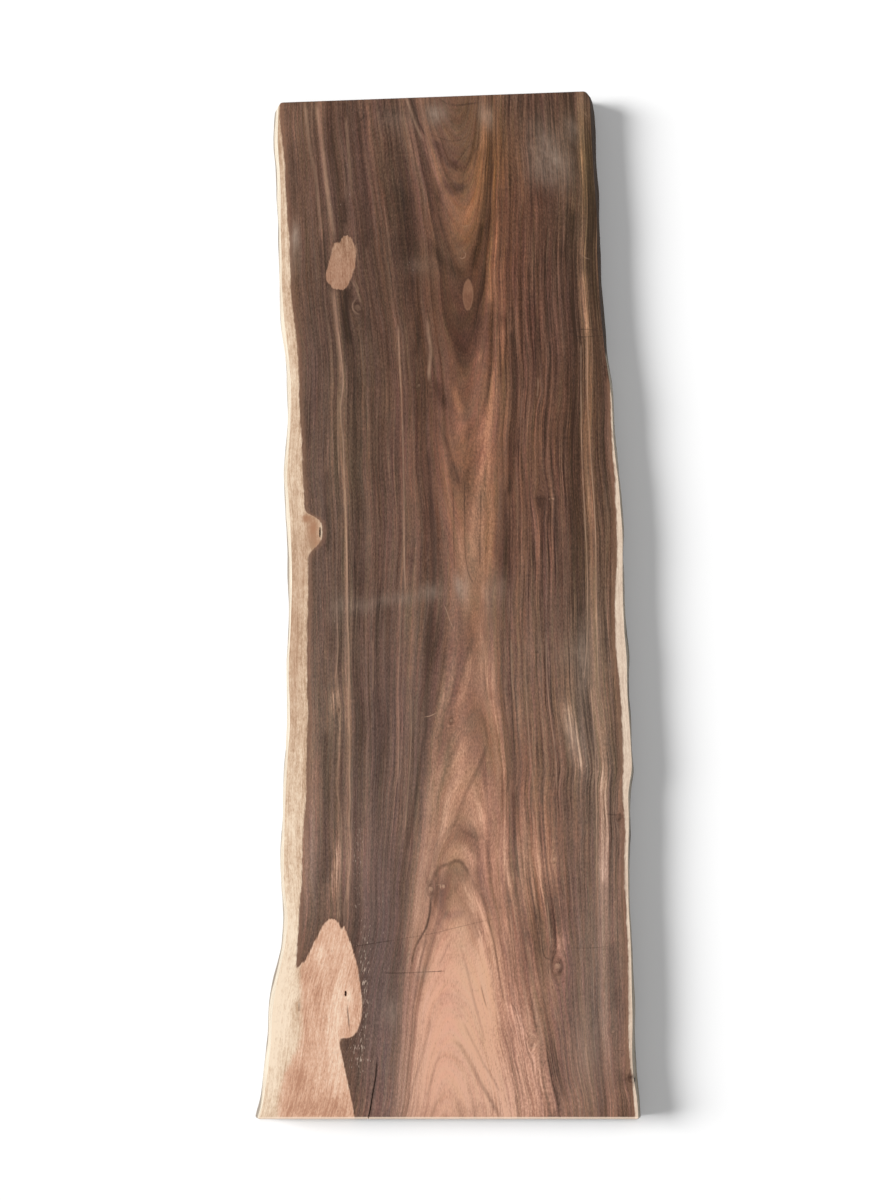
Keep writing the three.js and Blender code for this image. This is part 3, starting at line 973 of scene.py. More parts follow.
# %% Fine strokes, darker and lighter
DARK_LINES = [
    # strength, half width in mm, then picture column and row of each point
    (0.65, 1.8, [522, 925, 525, 945, 527.5, 970, 530, 991, 533, 1012, 537.5, 1035]),
    (0.70, 2.8, [536, 925, 540, 950, 543, 972, 543.5, 990, 545, 1008, 549, 1024, 553, 1041, 556, 1055,
                 559.5, 1069]),
    (0.45, 1.5, [508, 931, 511, 965, 514.5, 997, 519, 1015]),
    (0.45, 1.5, [512.5, 931, 516, 960, 519, 995, 523, 1030]),
    (1.0, 1.7, [410, 96, 413, 105, 416, 114, 420, 125, 425, 135]),
    (0.7, 2.2, [436, 97, 443, 101, 450, 104.5, 460, 105, 468, 104, 480, 102.5]),
    (0.35, 1.5, [428, 132, 440, 138, 452, 141, 463, 139, 472, 133]),
    (0.45, 1.6, [456, 165, 461, 157, 467, 149, 474, 141]),
    (0.35, 1.7, [463, 187, 463, 178, 466, 168, 471, 158, 477, 148, 484, 136]),
    (0.5, 1.5, [497, 100, 496, 130, 494, 160, 491, 190, 488, 215, 485, 240]),
    (0.5, 1.6, [506, 110, 503, 140, 500, 170, 498, 200, 497, 225]),
    (0.9, 0.8, [576, 329.5, 588, 329.5, 601, 331]),
    (0.9, 0.9, [575, 336, 585, 337, 604, 335]),
    (0.95, 2.0, [357, 124, 360, 121, 364, 117, 362, 111]),
    (0.5, 1.4, [360, 284, 366, 283]),
    (0.75, 1.4, [465, 482, 464.5, 500, 465, 520, 465, 540, 466, 560, 469, 574, 474, 584]),
    (0.6, 1.6, [509, 470, 510, 500, 510, 540, 510, 590]),
    (0.7, 1.4, [481, 490, 481, 515, 480, 540, 480, 566]),
    (0.6, 1.3, [453, 490, 454, 520, 454, 545, 455, 572]),
    (0.6, 1.4, [493, 446, 492, 456]),
    (0.35, 1.5, [456, 386, 462, 389, 468, 386, 473, 383]),
    (0.6, 1.2, [511, 560, 511, 600, 510, 640, 511, 680, 513, 720, 515, 760, 517, 800]),
    (0.6, 1.8, [487, 914, 491, 930, 495, 947, 498, 965, 501, 985, 504, 1001]),
    (0.45, 1.5, [508, 1000, 514, 1007, 519, 1016, 524, 1027, 529, 1038]),
    (0.5, 1.4, [481, 985, 484, 998, 487, 1008]),
    (0.5, 1.5, [509, 920, 512, 945, 515, 975, 518, 990, 523, 1010]),
    (0.9, 2.2, [431, 896, 430, 912, 425.5, 929, 418, 942, 414, 953, 412, 965]),
    (0.8, 0.9, [352, 947, 370, 944, 395, 940]),
    (0.45, 0.8, [395, 940, 430, 934, 455, 928, 480, 922, 502, 917]),
    (0.8, 1.0, [384, 973, 400, 973, 425, 972, 444, 971]),
    (0.45, 0.9, [566, 948, 590, 948, 610, 946]),
    (1.15, 1.7, [377, 1060, 376, 1076, 373, 1092, 370, 1114]),
    (0.75, 1.5, [347.5, 1006, 348, 1014, 349.6, 1029]),
    (0.8, 1.4, [607, 814, 613, 815, 620, 814]),
    (0.7, 1.2, [539, 905, 541, 935, 544, 955, 551, 960]),
    (0.6, 1.2, [584, 117, 586, 124, 589, 132, 591, 142]),
]
PALE_LINES = [
    (0.9, 0.9, [424, 717, 430, 716, 436, 713]),
    (0.7, 1.0, [444, 605, 447, 612, 450, 621, 454, 630]),
    (0.8, 1.6, [398.5, 325, 399, 350, 400, 370, 402, 410, 403, 450, 404, 500, 404, 540, 405, 590]),
    (0.95, 1.5, [338, 330, 342, 365, 343, 385, 340.5, 412, 343, 440, 344, 470, 345, 500, 346, 530,
                 347, 560, 347, 592, 347.5, 622, 349, 660, 348.5, 700, 349.5, 740, 349.5, 780, 350, 802,
                 349, 822, 350.5, 850, 349, 878]),
    (0.5, 1.5, [338, 395, 338, 440, 339, 475]),
    (0.5, 1.3, [336, 600, 338, 640, 337, 662, 335, 682]),
    (0.5, 1.5, [340, 752, 337, 772, 337, 790, 341, 815, 341, 850, 340, 882]),
    (0.55, 1.2, [373, 640, 373, 660, 373, 692]),
    (0.5, 1.3, [400, 600, 400, 640, 398, 690, 399, 730, 398, 782]),
    (0.5, 1.3, [411, 695, 411, 740, 408, 790, 405, 830]),
    (0.85, 1.1, [581, 345, 581, 400, 582, 460, 585, 520, 587.5, 580, 587, 640, 584, 680]),
    (0.85, 1.2, [587, 335, 587.5, 400, 591, 460, 595, 520, 596, 580, 597, 640, 599, 690]),
    (0.85, 1.2, [591, 690, 594, 730, 595.5, 760, 596.5, 820, 596.5, 890]),
    (0.5, 1.3, [546, 640, 547, 680, 550, 715, 555, 750, 557, 790]),
    (0.5, 1.2, [525, 640, 526, 690, 529, 740, 533, 780, 537, 820, 540, 870]),
    (0.45, 1.3, [511, 640, 512, 680, 514, 700]),
    (0.5, 1.5, [538, 378, 538, 388, 537, 398]),
    (0.45, 1.3, [597, 890, 599, 920, 601, 960, 602, 1000, 604, 1030, 606, 1052]),
    (0.6, 1.2, [547, 900, 549, 925, 551, 945]),
    (0.6, 1.5, [550, 968, 551, 990, 556, 1020]),
    (0.6, 1.4, [541, 1038, 537, 1045, 531, 1048, 527, 1043]),
    (0.6, 0.9, [461, 225, 465, 226.5, 469, 225]),
    (0.6, 0.9, [459, 257, 463, 259, 466, 255, 464, 252]),
    (0.4, 1.8, [351, 280, 356, 288, 359, 296, 361, 304]),
    (0.4, 1.4, [355, 281, 358, 289, 358, 297]),
    (0.45, 1.5, [356, 299, 353, 303, 352.5, 308, 355, 312, 358, 314]),
    (0.6, 1.0, [341, 850, 340, 872, 338, 890, 338, 905, 340, 918]),
    (0.7, 1.2, [349.5, 995, 350, 1001, 346, 1001]),
    (0.5, 1.2, [582, 255, 586, 258, 590, 259]),
    (0.8, 1.2, [584, 113, 587, 116]),
    (0.6, 1.2, [592, 122, 593, 150, 595, 190]),
]
print(len(DUSK_STROKES) + len(DARK_LINES), "darker strokes,", len(GLOW_STROKES) + len(PALE_LINES), "lighter")


# %% The mesh near a stroke
def smooth_open(points):
    """A smooth open line through points drawn as column, row, column, row and so on."""
    p = np.array(points, float).reshape(-1, 2)
    led = np.concatenate([[2 * p[0] - p[1]], p, [2 * p[-1] - p[-2]]])
    return np.concatenate([curve_through(led), p[-1:]])


STROKES_END, STROKES_FADE = 40.0, 12.0
FULL_REACH, REACH = 7.0, 11.0


def stroke_place(points, reach):
    """The points near a stroke: distance, signed distance across, and lengths to both ends."""
    path = np.stack(on_face(*smooth_open(points).T), 1)
    low, high = path.min(0) - reach, path.max(0) + reach
    in_box = (X > low[0]) & (X < high[0]) & (Y > low[1]) & (Y < high[1])
    near = np.flatnonzero(in_box & (below < STROKES_END))
    px, py = X[near], Y[near]
    away, offset, passed = np.full(len(near), FAR), np.zeros(len(near)), np.zeros(len(near))
    travelled, last = 0.0, len(path) - 2
    for k in range(last + 1):
        (ax, ay), (bx, by) = path[k], path[k + 1]
        ux, uy = bx - ax, by - ay
        length = math.hypot(ux, uy)
        t = ((px - ax) * ux + (py - ay) * uy) / length**2
        held = np.clip(t, -FAR if k == 0 else 0, FAR if k == last else 1)
        gap = np.hypot(px - ax - held * ux, py - ay - held * uy)
        beyond = np.maximum(held - 1, np.maximum(-held, 0)) * length
        score = np.hypot(gap, beyond)
        closer = score < away
        away = np.where(closer, score, away)
        offset = np.where(closer, np.sign(ux * (py - ay) - uy * (px - ax)) * gap, offset)
        passed = np.where(closer, travelled + held * length, passed)
        travelled += length
    return near, away, offset, passed, travelled - passed


def soft_strokes(strokes):
    """Tone that broad strokes add; they may cross."""
    total = np.zeros(len(X))
    for strength, half_width, points in strokes:
        near, _, offset, before, after = stroke_place(points, 3.2 * half_width)
        low, high = -half_width, 3 * half_width
        ends = smooth(low, high, before) * smooth(low, high, after)
        across_it = (offset / (1.25 * half_width)) ** 2
        total[near] += strength * ends * np.exp(-across_it - below[near] / STROKES_FADE)
    return total


def kept_apart(strokes, space):
    """Shares strokes out over as few layers as will keep those of one layer apart."""
    layers = []
    for stroke in strokes:
        path = np.stack(on_face(*smooth_open(stroke[2]).T), 1)
        for layer in layers:
            if all(np.hypot(*(path[:, None] - other).T).min() > space for _, other in layer):
                break
        else:
            layer = []
            layers.append(layer)
        layer.append((stroke, path))
    return [[stroke for stroke, _ in layer] for layer in layers]


def fine_strokes(strokes):
    """Signed distance to the nearest stroke, its half width, and its strength there."""
    best = np.full(len(X), FAR)
    found = np.zeros((len(X), 3))
    for strength, half_width, points in strokes:
        near, away, offset, before, after = stroke_place(points, 2 * REACH)
        soft = 2 + 2 * half_width
        ends = smooth(-soft, 2 * soft, before) * smooth(-soft, 2 * soft, after)
        seen = strength * ends * (1 - smooth(FULL_REACH, REACH, np.abs(offset)))
        seen *= np.exp(-below[near] / STROKES_FADE)
        closer = away < best[near]
        best[near] = np.where(closer, away, best[near])
        found[near[closer]] = np.stack([offset, np.full(len(near), half_width), seen], 1)[closer]
    return found


# %% Lay the strokes
BROAD = 4.5
LAYER_GAP = 2 * REACH + 8
STROKE_TABLES = [
    # strokes, and what full strength does to the tone where they are broad and where they are fine
    (DUSK_STROKES, -0.24, -0.50),
    (GLOW_STROKES, 0.25, 0.40),
    (DARK_LINES, -0.85, -0.85),
    (PALE_LINES, 0.60, 0.60),
]
broad, fine = [], []
for strokes, as_broad, as_fine in STROKE_TABLES:
    for strength, half_width, points in strokes:
        if half_width < BROAD:
            fine.append((as_fine * strength, half_width, points))
        else:
            broad.append((as_broad * strength, half_width, points))
write_field(board_mesh, "broad_stroke", soft_strokes(broad))
stroke_layers = []
for layer in kept_apart(fine, LAYER_GAP):
    stroke_layers.append(f"fine_stroke_{len(stroke_layers)}")
    write_field(board_mesh, stroke_layers[-1], fine_strokes(layer))
print(len(broad), "broad strokes,", len(fine), "fine ones in", len(stroke_layers), "layers")

# %% [markdown]
# ## Soft differences of tone
#
# Across such a board the colour drifts: the middle is pinker where the wide rings lie flat to the
# face, the left is a cool grey brown. The top is darker and the bottom lighter, in part as painted
# shade and painted light for the light falling off along the board. Dust rubbed into the pores
# leaves whitish clouds, and near the top right a painted sheen is laid on in the same way. Each is a
# soft oval put down one by one, as a finisher would pad on colour: its picture column and row, its
# half width and height in pixels, how strong it is, and its turn if it has one.

# %% Clouds of tone, warmth, dust and a painted sheen
TONE_CLOUDS = [
    # lighter above zero, darker below; darker ovals at the top and lighter ones at the bottom are in part
    # painted shade and light
    (456, 1035, 44, 120, 0.13), (490, 980, 14, 60, 0.10, -6), (455, 925, 20, 16, 0.08),
    (452, 790, 26, 50, 0.14, 8), (438, 895, 10, 24, -0.12, 10), (471, 834, 9, 4, -0.05),
    (485, 440, 10, 60, 0.12), (455, 420, 12, 60, -0.06), (485, 590, 10, 90, -0.04),
    (428, 690, 7, 60, -0.06, 4), (445, 690, 22, 60, -0.08), (440, 210, 60, 150, -0.09),
    (440, 345, 26, 80, -0.10), (490, 330, 20, 60, -0.06), (464, 212, 12, 34, 0.04),
    (400, 220, 34, 110, -0.08), (475, 310, 26, 40, -0.06), (438, 420, 12, 70, -0.10),
    (540, 360, 12, 50, -0.10), (515, 560, 12, 50, -0.08), (440, 645, 16, 30, -0.10),
    (465, 650, 12, 40, -0.10), (567, 700, 10, 50, 0.14), (315, 820, 12, 70, 0.08),
    (365, 830, 14, 100, 0.06), (545, 868, 12, 20, 0.10), (545, 1000, 20, 60, 0.10),
    (480, 975, 12, 40, 0.08), (404, 110, 40, 14, -0.10), (490, 120, 14, 40, -0.08),
    (528, 115, 16, 20, -0.10), (412, 215, 16, 70, -0.06, -8), (455, 118, 30, 16, -0.03),
    (425, 268, 20, 16, 0.04), (535, 230, 50, 150, -0.08), (590, 230, 14, 90, -0.08),
    (340, 330, 30, 60, -0.04), (390, 420, 40, 180, -0.07), (315, 790, 18, 120, 0.10),
    (416, 560, 10, 120, 0.06), (418, 850, 14, 70, 0.12), (388, 640, 30, 120, 0.02),
    (520, 870, 18, 70, 0.14, -4), (524, 1050, 22, 90, 0.22, -4), (545, 860, 14, 50, 0.08),
    (545, 915, 10, 30, -0.08), (596, 740, 16, 80, 0.16), (614, 790, 12, 120, 0.18),
    (600, 920, 22, 100, 0.16), (596, 1080, 40, 80, 0.24), (540, 800, 44, 130, 0.10),
    (610, 560, 8, 100, 0.08), (592, 800, 14, 60, 0.06), (592, 940, 14, 90, 0.06),
    (615, 910, 9, 120, 0.10), (340, 710, 14, 34, 0.16), (416, 660, 12, 60, 0.10),
    (316, 840, 14, 90, 0.05), (342, 838, 12, 40, 0.08), (365, 535, 14, 40, 0.08),
    (366, 860, 14, 60, 0.07), (413, 335, 14, 40, 0.08), (465, 862, 34, 20, 0.08),
    (516, 836, 14, 40, 0.09), (541, 862, 12, 22, 0.06), (415, 912, 14, 26, 0.07),
    (492, 962, 12, 34, 0.08), (566, 962, 14, 34, 0.08), (390, 1060, 14, 50, 0.12),
    (465, 1062, 20, 30, -0.06), (452, 1114, 46, 14, -0.12), (542, 1112, 34, 20, 0.10),
    (315, 110, 16, 24, 0.10), (592, 112, 20, 30, 0.15), (290, 125, 12, 22, 0.12),
    (431, 300, 7, 50, -0.12), (428, 262, 4, 40, -0.10), (575, 205, 4, 30, 0.12),
    (346, 380, 4, 22, 0.12), (347, 475, 4, 40, 0.14), (326, 430, 6, 40, -0.05),
    (482, 468, 6, 26, -0.10), (480, 400, 6, 20, -0.08), (442, 192, 4, 18, -0.08, -18),
    (452, 330, 7, 20, 0.06), (470, 336, 7, 20, 0.06), (466, 408, 8, 26, -0.08),
    (356, 640, 9, 44, 0.06), (530, 660, 22, 50, 0.05), (574, 635, 10, 30, 0.06),
    (313, 720, 7, 90, 0.08), (468, 745, 12, 26, 0.06), (492, 745, 5, 20, -0.08),
    (442, 750, 7, 24, -0.12), (427, 758, 4, 30, -0.12), (456, 795, 5, 28, -0.10, -16),
    (462, 742, 5, 16, 0.10, -8), (482, 828, 8, 20, 0.12, -6), (481, 797, 4, 14, -0.06),
    (470, 822, 12, 6, 0.08), (609, 770, 4, 50, -0.22), (610, 860, 3.5, 50, -0.14),
    (584, 765, 8, 30, 0.14), (582, 835, 8, 30, 0.08), (306, 860, 5, 60, 0.20),
    (620, 950, 9, 110, 0.10), (624, 1085, 10, 40, 0.08), (609, 1085, 5, 30, -0.12),
    (478, 903, 7, 16, 0.08), (452, 935, 14, 22, -0.07), (480, 965, 8, 40, -0.05),
    (548, 1000, 12, 44, -0.07), (422, 1005, 8, 75, 0.04, -8), (405, 1035, 5, 50, 0.06, -8),
    (408, 932, 8, 18, 0.08), (504, 1012, 9, 50, 0.12, 10), (527, 1055, 6, 26, -0.10, 10),
    (550, 1088, 6, 24, 0.10, 8), (524, 905, 8, 30, 0.10, 6), (534, 985, 8, 24, 0.08, 10),
    (380, 1108, 20, 12, 0.10), (580, 300, 8, 90, 0.07), (580, 690, 9, 90, 0.09),
    (345, 440, 11, 110, 0.05), (345, 650, 11, 50, 0.06), (345, 870, 11, 30, 0.08),
    (598, 480, 6, 60, 0.06), (598, 655, 6, 50, 0.08), (609, 685, 5, 36, 0.18),
    (608, 530, 5, 50, 0.13), (293, 235, 5, 22, 0.12),
]
WARM_CLOUDS = [
    # browner above zero, greyer below
    (450, 330, 230, 280, 0.12), (475, 215, 30, 80, 0.80), (372, 1000, 22, 130, -0.25),
    (500, 330, 60, 200, 0.30), (590, 330, 16, 200, 0.45), (480, 470, 36, 130, 0.40),
    (545, 440, 50, 160, 0.15), (475, 780, 44, 100, 0.15), (520, 930, 30, 100, 0.15),
    (380, 700, 60, 200, -0.30), (385, 990, 30, 160, -0.60), (590, 1000, 36, 160, -0.25),
    (314, 640, 20, 260, -0.30), (378, 790, 16, 220, -0.20), (590, 880, 26, 180, -0.15),
    (550, 135, 70, 50, 0.60), (492, 160, 20, 50, 0.80), (465, 112, 36, 20, 0.40),
    (590, 170, 14, 50, 0.50), (545, 235, 50, 70, 0.30), (315, 385, 14, 130, -0.40),
    (312, 860, 14, 70, -0.60), (378, 1000, 22, 120, -0.50), (602, 960, 22, 170, -0.40),
    (566, 980, 12, 120, -0.35), (520, 660, 34, 70, -0.30),
]
RED_CLOUDS = [
    # redder above zero, tanner below
    (450, 330, 230, 280, 0.15), (460, 1000, 50, 140, 0.20), (500, 230, 60, 130, 0.75),
    (500, 430, 80, 160, 0.50), (430, 380, 40, 160, 0.25), (590, 200, 14, 160, -0.55),
    (405, 180, 20, 90, -0.15), (330, 450, 40, 200, -0.35), (330, 780, 50, 200, -0.45),
    (385, 980, 36, 180, -0.60), (390, 720, 40, 120, -0.35), (475, 730, 40, 110, 0.15),
    (525, 650, 40, 60, -0.35), (600, 700, 30, 140, -0.65), (600, 960, 34, 160, -0.55),
    (520, 940, 26, 140, 0.25), (312, 640, 18, 260, -0.30), (590, 880, 26, 180, -0.20),
    (402, 615, 26, 44, -0.55), (440, 262, 20, 30, -0.70), (440, 585, 16, 44, -0.35),
    (350, 440, 34, 150, -0.25), (415, 360, 20, 60, -0.40), (314, 885, 12, 50, -0.55),
    (516, 866, 12, 30, -0.60), (566, 215, 16, 30, -0.40), (567, 712, 12, 26, -0.45),
    (492, 762, 12, 30, -0.40), (518, 912, 12, 26, -0.25), (565, 960, 12, 90, 0.20),
]
CALM_CLOUDS = [
    # where the ring lines are faint
    (385, 1000, 30, 130, 0.75), (592, 980, 40, 140, 0.60), (318, 800, 20, 140, 0.35),
    (390, 240, 50, 130, 0.40), (460, 160, 40, 80, 0.35), (460, 1010, 46, 130, 0.85),
    (452, 122, 34, 24, 0.60),
]
DUST_AND_SHEEN_CLOUDS = [
    # whitish ovals: near the top right they are a painted sheen, the rest are dust
    (551, 158, 18, 30, 0.34, 30), (540, 175, 16, 14, 0.10), (572, 130, 8, 14, 0.16, 20),
    (545, 128, 34, 30, 0.06), (436, 114, 10, 10, 0.40, -40), (486, 116, 7, 14, 0.30, 10),
    (395, 118, 18, 14, 0.12), (295, 237, 3.5, 12, 0.50), (294, 250, 5, 24, 0.22),
    (418, 266, 12, 9, 0.08), (459, 588, 4, 12, 0.40, 16), (465, 586, 6, 16, 0.22),
    (486, 594, 4, 16, 0.20), (430, 592, 12, 8, 0.22), (408, 599, 10, 6, 0.16),
    (386, 600, 12, 6, 0.16, 10), (364, 606, 10, 8, 0.16), (344, 604, 8, 10, 0.14),
    (333, 612, 6, 16, 0.14), (498, 590, 8, 20, 0.18), (573, 738, 6, 26, 0.36, 12),
    (584, 735, 8, 40, 0.08, 6), (583, 660, 6, 30, 0.16), (575, 655, 16, 20, 0.10),
    (592, 640, 16, 60, 0.08), (586, 1045, 14, 36, 0.14, -8), (392, 1012, 8, 16, 0.18),
    (424, 974, 6, 6, 0.20),
]
FLECK_CLOUDS = [
    # the share of the pores that hold dust
    (364, 985, 6, 60, 0.90), (356, 1055, 10, 24, 0.80), (358, 850, 6, 60, 0.65),
    (374, 930, 14, 60, 0.22), (418, 268, 12, 8, 0.45), (340, 190, 22, 60, 0.16),
    (385, 440, 30, 60, 0.08), (588, 730, 12, 60, 0.22), (392, 1020, 10, 40, 0.16),
    (360, 620, 40, 40, 0.12),
]

SAP_CLOUDS = [
    (276, 1030, 14, 90, 0.55), (270, 960, 20, 60, 0.20), (283, 130, 6, 60, -0.10),
    (303, 974, 6, 9, -0.40), (316, 990, 5, 24, -0.34), (307, 1030, 4, 34, -0.26, 4),
    (300, 1078, 12, 18, -0.42, 30), (284, 1104, 12, 14, -0.24), (335, 1102, 10, 12, -0.16),
    (314, 1110, 26, 12, -0.40), (344, 1110, 12, 12, -0.12), (338, 1010, 5, 40, 0.30),
    (333, 1050, 6, 40, 0.26, 6), (334, 985, 12, 22, -0.10), (357, 1000, 5, 34, -0.16),
    (318, 955, 7, 14, 0.20, 20), (294, 640, 5, 90, -0.22), (306, 630, 3.5, 90, -0.12),
    (306, 735, 3.5, 50, -0.14), (288, 1090, 10, 26, -0.18), (344, 1031, 5, 7, -0.32),
    (292, 382, 7, 26, 0.20), (291, 822, 6, 24, 0.18), (291, 965, 8, 50, 0.14),
    (313, 950, 4, 20, -0.34, -28), (292, 560, 6, 24, -0.20), (294, 890, 10, 80, 0.22),
    (301, 480, 5, 30, -0.16), (296, 380, 4, 60, -0.14), (280, 135, 5, 40, -0.20),
    (313, 545, 5, 6, -0.50), (288, 420, 8, 60, 0.10), (313, 528, 6, 13, -0.60),
    (307, 519, 4, 4, -0.60), (322, 533, 1.6, 12, 0.60), (349, 997, 4, 7, 0.50),
]
SAP_RED_CLOUDS = [
    (313, 530, 6, 14, 0.80), (318, 543, 4, 6, 0.60), (306, 518, 4, 3, 0.90),
    (294, 650, 5, 80, 0.35), (303, 560, 4, 40, 0.30),
]
print(len(TONE_CLOUDS), "ovals of tone,", len(WARM_CLOUDS) + len(RED_CLOUDS), "of hue")


# %% Add up the clouds
def clouds(table):
    """All the ovals of a table, added up at every point."""
    total = np.zeros(len(X))
    for px, py, wide, tall, amount, *turn in table:
        cx, cy = on_face(px, py)
        angle = math.radians(sum(turn))
        c, s = math.cos(angle), math.sin(angle)
        dx, dy = (X - cx) / PIXEL, (Y - cy) / PIXEL
        u, v = (dx * c + dy * s) / wide, (-dx * s + dy * c) / tall
        total += amount * np.exp(-(u * u + v * v))
    return total


CLOUDS_FADE = 14.0
front_weight = np.exp(-below / CLOUDS_FADE)
write_field(board_mesh, "sap_tone", clouds(SAP_CLOUDS) * front_weight)
write_field(board_mesh, "sap_red", clouds(SAP_RED_CLOUDS) * front_weight)
drift = 0.07 * lumps_of(place, (120, 420, 50), 41) + 0.035 * lumps_of(place, (40, 160, 40), 42)
tone = clouds(TONE_CLOUDS) * front_weight + drift * (1.6 - 0.9 * front_weight)
tone += 0.10 * np.exp(-((across / 70) ** 2)) * (1 - front_weight)
warm = clouds(WARM_CLOUDS) * front_weight + 0.20 * lumps_of(place, (70, 300, 60), 43)
red = clouds(RED_CLOUDS) * front_weight + 0.25 * lumps_of(place, (50, 260, 60), 44)
dust = clouds(DUST_AND_SHEEN_CLOUDS) * front_weight
write_field(board_mesh, "tone", tone)
write_field(board_mesh, "hue", np.stack([red, warm, clouds(CALM_CLOUDS) * front_weight], 1))
write_field(board_mesh, "dust", dust)
write_field(board_mesh, "flecks", clouds(FLECK_CLOUDS) * front_weight)
print("tone from", round(float(tone.min()), 2), "to", round(float(tone.max()), 2))

# %% Dark and clean stretches of the live edges, painted shade at their lower left corner, and how deep each point lies in a hollow
CRUST_STARTS_ROW = 352
CHECK_MIDDLE, CHECK_REACH, CHECK_TOP = -152.0, 22.0, -975.0
SUNK_IN_KNOT = 6.0
upper_right = smooth(-40, 40, Y - height(CRUST_STARTS_ROW)) * (X > 0)
scraps = 0.25 * lumps_of(place, (30, 130, 26), 51) + 0.125 * lumps_of(place, (14, 40, 12), 52)
write_field(board_mesh, "crust", np.clip(upper_right + scraps, 0, 1.2))
write_field(board_mesh, "shadowed", smooth(-1000, -1085, Y) * (X < 0))

depth = below / THICKNESS
edge_gap = np.minimum(X - live_edge(-1, Y, depth), live_edge(1, Y, depth) - X)
end_gap = np.minimum(Y - BUTT_Y, TOP_Y - TOP_CUT_SLANT * (1 - share) - Y)
inner_depth = np.minimum(np.minimum(edge_gap, below), np.minimum(Z, end_gap))
in_check = (np.abs(X - CHECK_MIDDLE) < CHECK_REACH) & (Y < CHECK_TOP)
in_check &= (end_gap > 0.5) & (below < CHECK_DEPTH + 1)
sunk = in_check * np.clip(below, 0, 20)
for name, x, y, z, wide, run, deep in HOLLOWS:
    gap = np.sqrt(((X - x) / wide) ** 2 + ((Y - y) / run) ** 2 + ((Z - z) / deep) ** 2)
    sunk = np.maximum(sunk, SUNK_IN_KNOT * (gap < 1.12) * (inner_depth > 0.4))
write_field(board_mesh, "sunk", sunk)

# %% [markdown]
# ## Shader maths as plain expressions
#
# A small class wraps a socket, so that sums and products of sockets can be written as ordinary
# expressions and each one adds its Math node. Everything else comes from one method that takes a
# node's type, its settings, and its sockets' values or links.


# %% Sockets that can be added and multiplied
class Wire:
    """One output of a node; arithmetic on it adds Math nodes."""

    def __init__(self, finish, socket):
        self.finish, self.socket = finish, socket

    def _math(self, operation, *values):
        return self.finish.node("ShaderNodeMath", {"operation": operation}, dict(enumerate(values)))

    def __add__(self, other):
        return self._math("ADD", self, other)

    def __sub__(self, other):
        return self._math("SUBTRACT", self, other)

    def __rsub__(self, other):
        return self._math("SUBTRACT", other, self)

    def __mul__(self, other):
        return self._math("MULTIPLY", self, other)

    def __truediv__(self, other):
        return self._math("DIVIDE", self, other)

    def __pow__(self, other):
        return self._math("POWER", self, other)

    def __abs__(self):
        return self._math("ABSOLUTE", self)

    def __neg__(self):
        return self._math("MULTIPLY", self, -1.0)

    def at_least(self, other):
        return self._math("MAXIMUM", self, other)

    def at_most(self, other):
        return self._math("MINIMUM", self, other)

    __radd__ = __add__
    __rmul__ = __mul__


